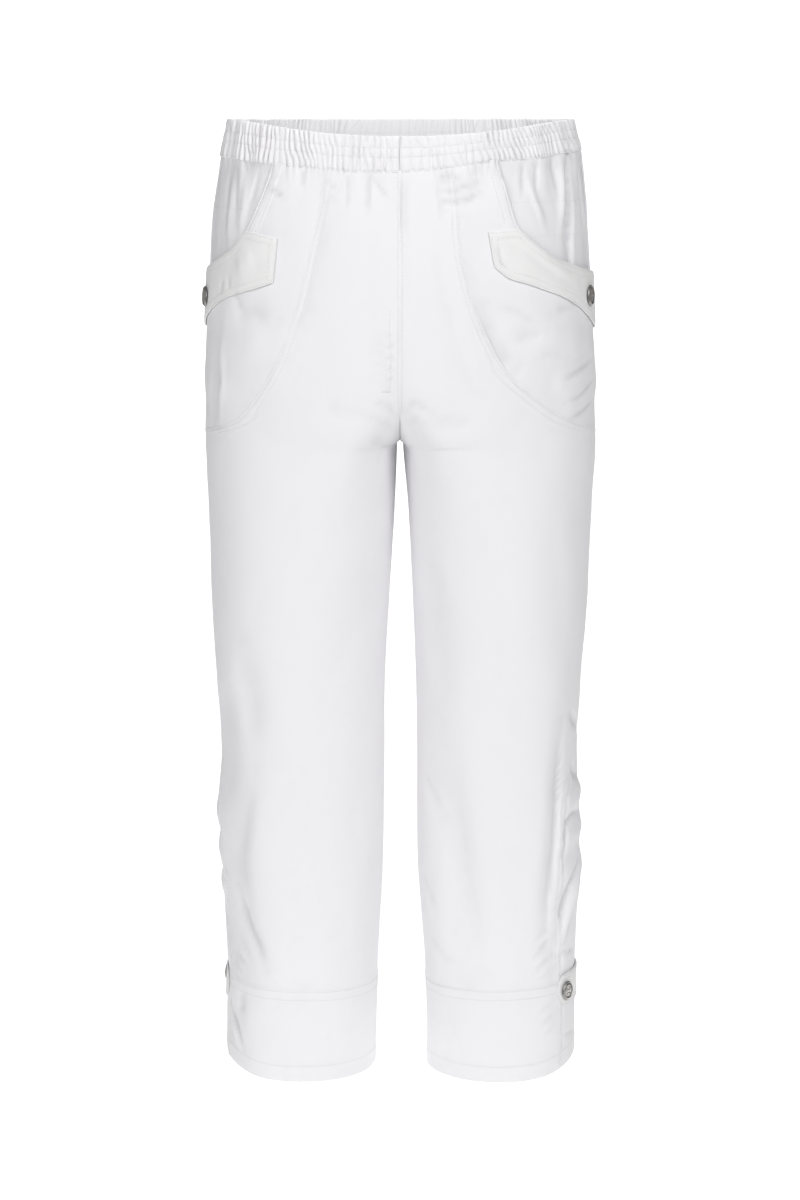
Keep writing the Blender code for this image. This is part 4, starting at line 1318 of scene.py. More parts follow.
@dataclass(frozen=True)
class Sateen:
    """Cotton sateen: warp floats with a faint diagonal, soft mottling and a low sheen."""

    name: str
    colour: Triple = (0.884, 0.877, 0.894)
    shade: Triple = (0.858, 0.850, 0.872)
    # deep is the colour of the painted shade in folds; the number below says how strongly it is
    # painted.
    deep: Triple = (0.56, 0.56, 0.60)
    painted_fold_shade: float = 0.42
    roughness: float = 0.60
    sheen: float = 0.22
    thread: float = 0.00042
    weave_depth: float = 0.000035
    crumple_depth: float = 0.00022
    cloud_scale: float = 9.0
    crumple_scale: float = 70.0
    slub_scale: Triple = (900.0, 40.0, 1.0)

    def make(self) -> Material:
        """Build the material on the piece's own grain, its UV map in metres.

        The weave is |sin| ridges along the warp, with a step that climbs across them as the
        fractional part of 0.2 weft + 0.4 warp.  The colour darkens by the hollow attribute: painted
        shade in the folds and along the seams.
        """
        f = Finish(self.name)
        grain = f.node("UVMap", {"uv_map": "grain"}, {})
        x = f.node("SeparateXYZ", {}, {0: grain})
        y = Sock(f, x.socket.node.outputs[1])
        warp = x / self.thread
        weft = y / self.thread
        ridge = abs((warp * math.pi).sine())
        step = (weft * 0.2 + warp * 0.4).part()
        catch = abs(step - 0.5) * 2.0
        weave = ridge * (0.62 + catch * 0.38)
        place = f.node("TexCoord", {}, {}, output="Object")
        cloud = f.noise(place, self.cloud_scale, 3.0)
        crumple = f.noise(place, self.crumple_scale, 3.0)
        slub = f.node("Mapping", {}, {"Vector": grain, "Scale": self.slub_scale})
        streak = f.noise(slub, 1.0, 2.0)
        tone = cloud * 0.5 + streak * 0.3 + (1 - weave) * 0.2
        colour = f.blend(tone, (*self.colour, 1.0), (*self.shade, 1.0))
        # Painted shade: the cloth darkens towards deep where the hollow attribute marks folds.
        fold = f.node("Attribute", {"attribute_name": "hollow"}, {}, output="Fac")
        colour = f.blend(fold * self.painted_fold_shade, colour, (*self.deep, 1.0))
        height = crumple * self.crumple_depth + weave * self.weave_depth
        height = height + streak * (self.weave_depth * 0.8)
        normal = f.node("Bump", {}, {"Strength": 0.85, "Distance": 1.0, "Height": height})
        rough = self.roughness + (1 - weave) * 0.10 + (cloud - 0.5) * 0.10
        return f.finish(Base_Color=colour, Roughness=rough, Normal=normal, Sheen_Weight=self.sheen,
                        Sheen_Roughness=0.45, Specular_IOR_Level=0.35)


@dataclass(frozen=True)
class Sewing:
    """Twisted white sewing thread, a little brighter and smoother than the cloth."""

    name: str
    colour: Triple = (0.86, 0.858, 0.85)
    # shade is the colour of the painted shade in the twist's grooves.
    shade: Triple = (0.66, 0.655, 0.645)
    twist: float = 0.0007
    fibre_scale: float = 400.0

    def make(self) -> Material:
        """Build the material: slanting twist lines, the grooves between them darkened as painted shade,
        and a faint unevenness.
        """
        f = Finish(self.name)
        place = f.node("TexCoord", {}, {}, output="Object")
        x = f.node("SeparateXYZ", {}, {0: place})
        y, z = Sock(f, x.socket.node.outputs[1]), Sock(f, x.socket.node.outputs[2])
        ply = abs(((x + y + z) * (math.pi / self.twist)).sine())
        uneven = f.noise(place, self.fibre_scale, 1.0)
        # The grooves between the plies are darkened towards shade: painted shade, with random
        # unevenness mixed in.
        colour = f.blend((1 - ply) * 0.6 + uneven * 0.3, (*self.colour, 1.0), (*self.shade, 1.0))
        normal = f.node("Bump", {}, {"Strength": 0.6, "Distance": 0.00008, "Height": ply})
        return f.finish(Base_Color=colour, Roughness=0.48 + uneven * 0.12, Normal=normal,
                        Sheen_Weight=0.1, Specular_IOR_Level=0.4)


@dataclass(frozen=True)
class OldSilver:
    """Antiqued silver: dark in the hollows, rubbed bright on the relief."""

    name: str
    dark: Triple = (0.060, 0.057, 0.054)
    bright: Triple = (0.86, 0.84, 0.81)
    speck_scale: float = 1400.0
    patch_scale: float = 330.0

    def make(self) -> Material:
        """Build the material from the mesh's own wear attribute and fine scratches."""
        f = Finish(self.name)
        worn = f.node("Attribute", {"attribute_name": "wear"}, {}, output="Fac")
        place = f.node("TexCoord", {}, {}, output="Object")
        speck = f.noise(place, self.speck_scale, 3.0)
        patch = f.noise(place, self.patch_scale, 2.0)
        share = worn * 0.85 + (speck - 0.5) * 0.35 + (patch - 0.5) * 0.25
        share = f.node("Clamp", {}, {"Value": share})
        colour = f.blend(share, (*self.dark, 1.0), (*self.bright, 1.0))
        normal = f.node("Bump", {}, {"Strength": 0.5, "Distance": 0.00006, "Height": speck})
        return f.finish(Base_Color=colour, Metallic=0.95, Roughness=0.46 - share * 0.20 + speck * 0.08,
                        Normal=normal)


@dataclass(frozen=True)
class Wardrobe:
    """Every material that the trousers are made of."""

    sateen: Material
    casing: Material
    strap: Material
    cuff: Material
    thread: Material
    silver: Material

    @staticmethod
    def make() -> "Wardrobe":
        """Build all the materials."""
        return Wardrobe(
            sateen=Sateen("white_sateen").make(),
            casing=Sateen("gathered_sateen", crumple_depth=0.00030, roughness=0.64).make(),
            strap=Sateen("strap_sateen", colour=(0.878, 0.878, 0.876), shade=(0.853, 0.852, 0.849),
                         crumple_depth=0.00030).make(),
            cuff=Sateen("cuff_sateen", colour=(0.880, 0.875, 0.886)).make(),
            thread=Sewing("white_thread").make(),
            silver=OldSilver("old_silver").make(),
        )


def dress(thing: Thing, material: Material, slot: str, *nodes: str) -> None:
    """Give a piece its material and its body, and hide the nodes it stands for.

    Args:
        thing: the finished piece.
        material: its finish.
        slot: not used.
        nodes: the solids' nodes that it stands for, if any.
    """
    thing.data.materials.append(material)
    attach(thing, "root")
    if nodes:
        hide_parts(*nodes)


@dataclass(frozen=True)
class Sheet:
    """A sheet's record slot, the cut of what shows, how it is held and what carries it.

    Where the cut isn't a rectangle, area is its flat area in square metres.
    """

    slot: str
    flat: Pair
    held: Held
    rests_on: str
    area: float | None = None


@dataclass
class Part:
    """A sub-assembly on one side: the surface that it follows and the materials it is made of."""

    drape: Drape
    wardrobe: Wardrobe

    @property
    def side(self) -> Side:
        """The wearer's side that the part is on."""
        return self.drape.side

    def named(self, piece: str) -> str:
        """Give a piece's node name on this side."""
        return piece + "_" + self.side.word

    def hand_over(self, thing: Thing, piece: str, sheet: Sheet, material: Material) -> None:
        """Args:
            thing: the finished shell.
            piece: the piece's name without its side.
            sheet: its slot, its cut and what carries it.
            material: its finish.
        """
        dress(thing, material, sheet.slot, self.named(piece))
        self.named(sheet.rests_on)
        LOG.info("%s: cut %.3f x %.3f m", thing.name, *sheet.flat)

    def sew(self, piece: str, patch: Array, sheet: Sheet, material: Material, seed: int,
            **how: object) -> Sewn:
        """Sew one piece of this side and hand it over.

        Args:
            piece: the piece's name without its side.
            patch: its patch of the drape.
            sheet: what it is cut from.
            material: its finish.
            seed: what its seams' seed adds to the side's own.
            how: the other fields of its Cut.

        Returns:
            The finished piece.
        """
        sewn = Cut(self.named(piece), self.drape, patch, seed=self.drape.seed + seed, **how).sew()
        self.hand_over(sewn.thing, piece, sheet, material)
        return sewn


# Seams that more than one piece has: under the waistband, and above the cuff.
UNDER_BAND = SeamLook(dip=0.0002, dip_width=0.0015)
ABOVE_CUFF = SeamLook(dip=-0.0007, dip_width=0.0020, pucker=0.00026, pucker_reach=0.012)


@dataclass
class Waistband(Part):
    """One half of the elastic waistband: a casing gathered over two rows of stitching."""

    half_thickness: float = 0.0014
    middle_out: float = -0.0003
    wave: float = 0.0030
    scallop: float = 0.0018
    steps_per_gather: int = 7
    channel_puff: float = 0.0002
    pinch: float = 0.00010
    pinch_width: float = 0.022
    right_inside_wave: float = 0.0014
    left_inside_wave: float = 0.0005
    inside_rows: Pair = (0.40, 0.70)
    inside_row_width: float = 0.02
    inside_row_puff: float = 0.00025
    lower_round: float = 0.0011
    fullness: float = 1.2
    # How strongly the valleys between the gathers get painted shade.
    painted_valley_shade: float = 0.45
    stitch_shares: tuple[float, ...] = (0.35, 0.62, 0.955)
    sheet: Sheet = Sheet("gathered_waistband", (0.560, 0.036), Held.GATHERED, "front")
    rows: tuple[float, ...] = (0.0, 0.004, 0.012, 0.026, 0.045, 0.08, 0.12, 0.17, 0.22, 0.27, 0.31,
                               0.335, 0.35, 0.365, 0.39, 0.43, 0.48, 0.53, 0.57, 0.60, 0.62, 0.64,
                               0.67, 0.72, 0.78, 0.84, 0.89, 0.93, 0.955, 0.975, 0.99, 1.0)

    def outside(self, u: Array, share: Array) -> Array:
        """Give the outside's height: three puffed channels, pinched at the stitch rows.

        Each channel is a half sine across; the gathers ride on it, lower at the stitches.

        Args:
            u: places round the half.
            share: how far down the band they are.

        Returns:
            The height outwards.
        """
        edges = (0.0, *self.stitch_shares[:2], 1.0)
        puff, pinch = np.zeros(share.shape), np.zeros(share.shape)
        for low, high in zip(edges[:-1], edges[1:]):
            t = np.clip((share - low) / (high - low), 0, 1)
            puff = np.maximum(puff, np.sin(math.pi * t) ** 0.7 * (share >= low) * (share <= high))
        for row in self.stitch_shares:
            pinch = np.maximum(pinch, bump(share, row, self.pinch_width))
        top = smoothstep(0.0, 0.06, share)
        ridges = self.wave * self.drape.gather(u, share) * (0.80 + 0.20 * puff) * (0.6 + 0.4 * top)
        return self.channel_puff * puff + ridges - self.pinch * pinch

    def inside(self, u: Array, share: Array) -> Array:
        """Give the inside's height: gathers that show on the right half and fade on the left.

        Args:
            u: places round the half.
            share: how far down the band they are.

        Returns:
            The height outwards.
        """
        gather = self.drape.gather(u, 0.8 * share)
        strength = self.right_inside_wave if self.side is R else self.left_inside_wave
        strength = strength * (1 - 0.8 * smoothstep(0.80, 0.93, u))
        upper, lower = (bump(share, row, self.inside_row_width) for row in self.inside_rows)
        rows = self.inside_row_puff * (upper + lower)
        return gather * strength * smoothstep(0.0, 0.08, share) + rows

    def build(self) -> Sewn:
        """Make the casing as one closed wall with a rounded upper edge.

        Its half thickness is a quarter circle at the top and a flatter one at the bottom, and
        its lower edge drops under each gather.
        """
        columns = GATHERS * self.steps_per_gather + 1
        u = np.broadcast_to(np.linspace(0.0, 1.0, columns), (len(self.rows), columns))
        share = np.broadcast_to(np.array(self.rows)[:, None], u.shape)
        top, bottom = self.drape.band_top(u), self.drape.band_bottom(u)
        z = top + (bottom - top) * share
        round_top = np.sqrt(1 - (1 - np.clip((top - z) / self.half_thickness, 0, 1)) ** 2)
        low = np.clip((z - bottom + 0.0002) / self.lower_round, 0, 1)
        round_low = np.sqrt(1 - (1 - low) ** 2)
        half = self.half_thickness * (0.12 + 0.88 * round_top * (0.35 + 0.65 * round_low))
        normals = self.drape.outward(u, z)
        outside = self.outside(u, share) * (0.5 + 0.5 * round_low)
        drip = self.scallop * (self.drape.gather(u, share) + 0.7) * smoothstep(0.88, 1.0, share)
        outer = self.drape.lay(u, z - drip, self.middle_out + half + outside)
        inner = self.drape.lay(u, z, self.middle_out - half + self.inside(u, share) * round_low)
        self.drape.keep_to_side(outer, u, z)
        self.drape.keep_to_side(inner, u, z)
        grain = np.stack([u * GIRTH_PER_U * self.fullness, z], axis=-1)
        middle = normals[len(self.rows) // 2, columns // 2]
        # Painted shade in the valleys between the gathers, deeper valleys darker.
        hollow = self.painted_valley_shade * np.maximum(-outside, 0.0)
        name = self.named("waistband") + "_cloth"
        thing = make_shell(name, outer, inner, middle, grain, hollow)
        self.hand_over(thing, "waistband", self.sheet, self.wardrobe.casing)
        return Sewn(thing, outer, grid_normals(outer, normals), {})

    def stitch(self, band: Sewn) -> None:
        """Run the two elastic rows and the row that closes the casing."""
        thread = Thread(self.named("stitches_waistband"), pitch=0.0029, length=0.0023)
        for share in self.stitch_shares:
            row = int(np.argmin(np.abs(np.array(self.rows) - share)))
            thread.run((band.points[row], band.normals[row]))
        dress(thread.make(), self.wardrobe.thread, self.sheet.slot)


@dataclass
class LegPanels(Part):
    """The front and the back of one leg, from the waistband to the cuff."""

    row_step: float = 0.0030
    front_columns: int = 40
    back_columns: int = 84
    front_sheet: Sheet = Sheet("sateen", (0.290, 0.790), Held.DRAPED, "waistband", 0.150)
    back_sheet: Sheet = Sheet("sateen", (0.340, 0.800), Held.DRAPED, "waistband", 0.200)
    length: float = 0.76
    hip_share: float = 0.31
    turn_share: float = 0.72
    arch_share: float = 0.012
    ease_rows: float = 8.0
    princess_rows: Pair = (0.0016, 0.0062)
    princess_end: float = -0.2795
    princess_stitched_end: float = -0.278
    centre_row: float = 0.0018
    seat_rows: Pair = (0.0018, 0.0066)
    centre_end: float = -0.262
    stitched_end: float = -0.258
    fly_row: float = 0.0085
    fly_top: float = -0.165
    fly_end: float = -0.237
    tack_width: float = 0.008

    def rows(self) -> Array:
        """Give the shares of the panels' rows, from the waistband to the cuff."""
        return spread(self.length, self.row_step, first=FEW_STEPS, last=FEW_STEPS)

    def centre(self, at_u: float, share: Array) -> Array:
        """Give the edge along the centre seam, under the crotch and down the inseam.

        The centre seam's lowest stretch is stepped along a quarter turn, so that its rows
        close up where the seam turns under the body, and so is the inseam's short arch.

        Args:
            at_u: 0 for the front, 1 for the back.
            share: the shares of the panel's rows.

        Returns:
            The edge's places (u, z).
        """
        top = self.drape.band_bottom(np.array(at_u))
        turn_start = self.hip_share * self.turn_share
        turn = CROTCH_Z + CROTCH_RISE
        z = top + (turn - top) * share / turn_start
        t = np.clip((share - turn_start) / (self.hip_share - turn_start), 0, 1)
        z = np.where(share > turn_start, turn - CROTCH_RISE * np.sin(t * math.pi / 2), z)
        arch_end = self.hip_share + self.arch_share
        t = np.clip((share - self.hip_share) / (arch_end - self.hip_share), 0, 1)
        z = np.where(share > self.hip_share, CROTCH_Z - ARCH_HEIGHT * t * t, z)
        t = np.clip((share - arch_end) / (1 - arch_end), 0, 1)
        leg = CROTCH_Z - ARCH_HEIGHT + (CUFF_TOP_INSEAM - CROTCH_Z + ARCH_HEIGHT) * t
        z = np.where(share > arch_end, leg, z)
        return np.stack([np.full(len(z), at_u), z], axis=-1)

    def side_edge(self, hip: Array, share: Array) -> Array:
        """Give the edge that follows hip down to the hip's end and the side seam from there."""
        t = (share - self.hip_share) / (1 - self.hip_share)
        leg = self.drape.side_seam(HIP_END_Z + (CUFF_TOP_SIDE - HIP_END_Z) * np.clip(t, 0, 1))
        return np.where((share > self.hip_share)[:, None], leg, hip)

    def patch(self, start: Array, end: Array, columns: int) -> Array:
        """Fill a panel between its two edges and set its first row along the waistband.

        Args:
            start: the places (u, z) of its first edge.
            end: those of its last edge.
            columns: how many even steps lie between the edges.

        Returns:
            The patch, rows x columns x 2.
        """
        share = spread_rows(row_lengths(start, end), columns)
        patch = ruled(start, end, share)
        patch[0, :, 1] = self.drape.band_bottom(patch[0, :, 0])
        fall = np.arange(len(patch)) / self.ease_rows
        ease = (1 - smoothstep(0, 1, fall))[:, None]
        first, last = patch[0, 0, 1], patch[0, -1, 1]
        sag = self.drape.band_bottom(patch[..., 0]) - first - (last - first) * share
        patch[..., 1] += ease * sag * (fall > 0)[:, None]
        return patch

    def build_front(self) -> Sewn:
        """Make the front: centre seam to princess seam, then inseam to side seam."""
        share = self.rows()
        hip = drawn(PRINCESS[self.side], np.clip(share / self.hip_share, 0, 1))
        patch = self.patch(self.centre(0.0, share), self.side_edge(hip, share), self.front_columns)
        lower = PUCKER_TOP[self.side]
        looks = {
            Edge.START: (
                SeamLook(dip=-0.00018, dip_width=0.0005, rows=(self.centre_row,), groove=0.0003,
                         low=self.centre_end),
                SeamLook(dip=0.0006, high=self.centre_end),
            ),
            Edge.END: (
                SeamLook(rows=self.princess_rows, welt=0.0006, welt_width=0.0078, pucker=0.00050,
                         dip=-0.0001, dip_width=0.0006, low=self.princess_end),
                SeamLook(dip=0.0008, pucker=0.00010, low=lower, high=self.princess_end),
                SeamLook(rows=(0.0016, 0.0060), welt=0.0005, welt_width=0.0074, pucker=0.00070,
                         pucker_reach=0.013, dip=0.0005, high=lower),
            ),
            Edge.TOP: (UNDER_BAND,),
            Edge.BOTTOM: (ABOVE_CUFF,),
        }
        return self.sew("front", patch, self.front_sheet, self.wardrobe.sateen, 100, looks=looks)

    def build_back(self) -> Sewn:
        """Make the back: side seam to centre back, then side seam to inseam."""
        share = self.rows()
        top = float(self.drape.band_bottom(np.array(0.5)))
        hip = self.drape.side_seam(top + (HIP_END_Z - top) * np.clip(share / self.hip_share, 0, 1))
        patch = self.patch(self.side_edge(hip, share), self.centre(1.0, share), self.back_columns)
        looks = {
            Edge.START: (SeamLook(dip=0.0009, pucker=0.00016, pucker_reach=0.010),),
            Edge.END: (
                SeamLook(dip=0.0010, rows=self.seat_rows, welt=0.0005, welt_width=0.0080,
                         pucker=0.00014, low=self.centre_end),
                SeamLook(dip=0.0006, high=self.centre_end),
            ),
            Edge.TOP: (UNDER_BAND,),
            Edge.BOTTOM: (ABOVE_CUFF,),
        }
        return self.sew("back", patch, self.back_sheet, self.wardrobe.sateen, 200, looks=looks)

    def stitch(self, front: Sewn, back: Sewn) -> None:
        """Run the princess rows, the lower side rows, the seat rows and the mock fly."""
        thread = Thread(self.named("stitches_legs"))
        for row in self.princess_rows:
            thread.run(front.row_at(Edge.END, row), low=self.princess_stitched_end, trim=0.003)
            thread.run(front.row_at(Edge.END, row), high=PUCKER_TOP[L])
        thread.run(front.row_at(Edge.START, self.centre_row), low=self.stitched_end)
        for row in self.seat_rows:
            thread.run(back.row_at(Edge.END, row), low=self.stitched_end)
        if self.side is R:
            line = front.row_at(Edge.START, self.fly_row)
            thread.run(line, low=self.fly_end, high=self.fly_top)
            place = int(np.argmin(np.abs(line[0][:, 2] - self.fly_end)))
            across = unit(np.cross(line[1][place], np.array([0.0, 0.0, 1.0])))
            middle = line[0][place] - across * self.tack_width / 2 * self.side.value
            thread.tack(middle, across, line[1][place], self.tack_width)
        dress(thread.make(), self.wardrobe.thread, self.front_sheet.slot)


@dataclass
class HipPocket(Part):
    """The hip side, the pocket piece over it, its opening and the strap-like flap."""

    hip_out: float = -0.0023
    flap_out: float = 0.0021
    flap_cloth: float = 0.0014
    flap_taper: float = 0.6
    row_step: float = 0.0026
    hip_columns: int = 76
    pocket_columns: int = 42
    flap_columns: int = 14
    opening_share: float = 0.46
    opening_rows: Pair = (0.0016, 0.0090)
    flap_rows: Pair = (0.0015, 0.0065)
    # How far the painted shade along the pocket's opening reaches.
    shade_reach: float = 0.0040
    hip_sheet: Sheet = Sheet("sateen", (0.200, 0.265), Held.DRAPED, "waistband", 0.035)
    pocket_sheet: Sheet = Sheet("sateen", (0.180, 0.265), Held.DRAPED, "waistband", 0.0255)
    flap_sheet: Sheet = Sheet("strap_cloth", (0.225, 0.060), Held.FOLDED, "pocket", 0.0088)

    def build_hip(self) -> Sewn:
        """Make the hip side, with the facing's two cross seams that show in the opening.

        Between those seams the cloth is doubled.  Just under the waistband it rises from the
        pocket's depth to the band in a bell curve, and painted shade darkens it along the
        pocket's opening.
        """
        top = float(self.drape.band_bottom(np.array(0.5)))
        share = spread(0.25, self.row_step, first=FEW_STEPS, last=FEW_STEPS)
        start = drawn(PRINCESS[self.side], share)
        end = self.drape.side_seam(top + (HIP_END_Z - top) * share)
        lengths = row_lengths(start, end)
        across = spread_rows(lengths, self.hip_columns, last=FEW_STEPS, first=FEW_STEPS)
        patch = ruled(start, end, across)
        patch[0, :, 1] = self.drape.band_bottom(patch[0, :, 0])
        upper, lower = FACING[self.side]
        u, z = patch[..., 0], patch[..., 1]
        doubled = smoothstep(lower - 0.0005, lower + 0.0005, z)
        doubled = doubled * smoothstep(-upper - 0.0005, 0.0005 - upper, -z)
        grooves = bump(z, upper - 0.001, 0.0008) + bump(z, lower + 0.001, 0.0008)
        drop = np.maximum(self.drape.band_bottom(u) - z, 0.0)
        covered = self.drape.covered(u, z)
        free = smoothstep(0.0, 0.012, -covered)
        rise = -(0.5 + 0.45 * free) * self.hip_out * np.exp(-(drop / 0.009) ** 2)
        looks = {Edge.TOP: (SeamLook(dip=0.0001, dip_width=0.0015),),
                 Edge.END: (SeamLook(dip=0.0009),)}
        # shaded paints shade on the hip side along the pocket's opening.
        return self.sew("hip_side", patch, self.hip_sheet, self.wardrobe.sateen, 300,
                        out=self.hip_out, layers=(BODY, HIP), looks=looks,
                        extra=0.0005 * doubled - 0.0003 * grooves + rise,
                        shaded=0.7 * FULL_HOLLOW * bump(covered, 0.0, self.shade_reach))

    def build_pocket(self) -> Sewn:
        """Make the pocket piece: princess seam to the curved opening and the side seam."""
        share = spread(0.26, self.row_step, first=FEW_STEPS, last=EDGE_STEPS)
        half = self.opening_share
        start = drawn(PRINCESS[self.side], share)
        opening = drawn(OPENING[self.side], np.clip(share / half, 0, 1))
        corner = OPENING[self.side][-1][1]
        down = np.clip((share - half) / (1 - half), 0, 1)
        seam = self.drape.side_seam(corner + (HIP_END_Z - corner) * down)
        end = np.where((share > half)[:, None], seam, opening)
        patch = ruled(start, end, spread_rows(row_lengths(start, end), self.pocket_columns))
        patch[0, :, 1] = self.drape.band_bottom(patch[0, :, 0])
        looks = {
            Edge.START: (SeamLook(dip=-0.0003, dip_width=0.0009, pucker=0.00030),),
            Edge.END: (
                SeamLook(rows=self.opening_rows, groove=0.0009, welt=0.0014, welt_width=0.0100,
                         dip=0.0002, pucker=0.00080, pucker_reach=0.010, low=corner),
                SeamLook(dip=0.0009, pucker=0.00030, pucker_reach=0.012, high=corner),
            ),
            Edge.TOP: (UNDER_BAND,),
        }
        return self.sew("pocket", patch, self.pocket_sheet, self.wardrobe.sateen, 400,
                        layers=(BODY, POCKET), looks=looks)

    def build_flap(self) -> Sewn:
        """Make the flap: two layers turned and topstitched, slightly puffed between."""
        share = spread(0.215, 0.0018)
        top, bottom = drawn(FLAP_TOP[self.side], share), drawn(FLAP_BOTTOM[self.side], share)
        patch = ruled(top, bottom, spread_rows(row_lengths(top, bottom), self.flap_columns))
        middle = patch[-1].mean(axis=0)[1]
        near_end = smoothstep(0.90, 1.0, share)[:, None] * (1 - self.flap_taper)
        patch[..., 1] += (middle - patch[..., 1]) * near_end
        look = SeamLook(rows=self.flap_rows, dip=0.0003, welt=0.0002, welt_width=0.0074,
                        pucker=0.00016, groove=0.00036)
        return self.sew("flap", patch, self.flap_sheet, self.wardrobe.strap, 500,
                        cloth=self.flap_cloth, out=self.flap_out, layers=(BODY, POCKET, FLAP),
                        puff=0.00025, looks={edge: (look,) for edge in Edge})

    def facing_line(self, z: float) -> tuple[Array, Array]:
        """Trace a cross seam of the pocket facing on the hip side, at a height z.

        Args:
            z: the height.

        Returns:
            The line's points and the cloth's normals there.
        """
        opening = OPENING[self.side]
        u_start = float(np.interp(-z, -opening[:, 1], opening[:, 0])) - 0.01
        u = np.linspace(u_start, 0.495, 80)
        heights = z + 0.0012 * np.sin((u - u_start) * 9)
        out = np.full(u.shape, self.hip_out + CLOTH / 2)
        points = self.drape.lay(u, heights, out, (BODY, HIP))
        return points, self.drape.outward(u, heights)

    def stitch(self, pocket: Sewn, flap: Sewn) -> None:
        """Run the opening's rows, the flap's rows and the facing's cross seams."""
        thread = Thread(self.named("stitches_pocket"))
        for row in self.opening_rows:
            thread.run(pocket.row_at(Edge.END, row), low=OPENING[self.side][-1][1])
        for row in self.flap_rows:
            for edge in (Edge.START, Edge.END, Edge.TOP):
                thread.run(flap.row_at(edge, row), trim=row)
        for z in FACING[self.side]:
            thread.run(self.facing_line(z))
        dress(thread.make(), self.wardrobe.thread, self.pocket_sheet.slot)


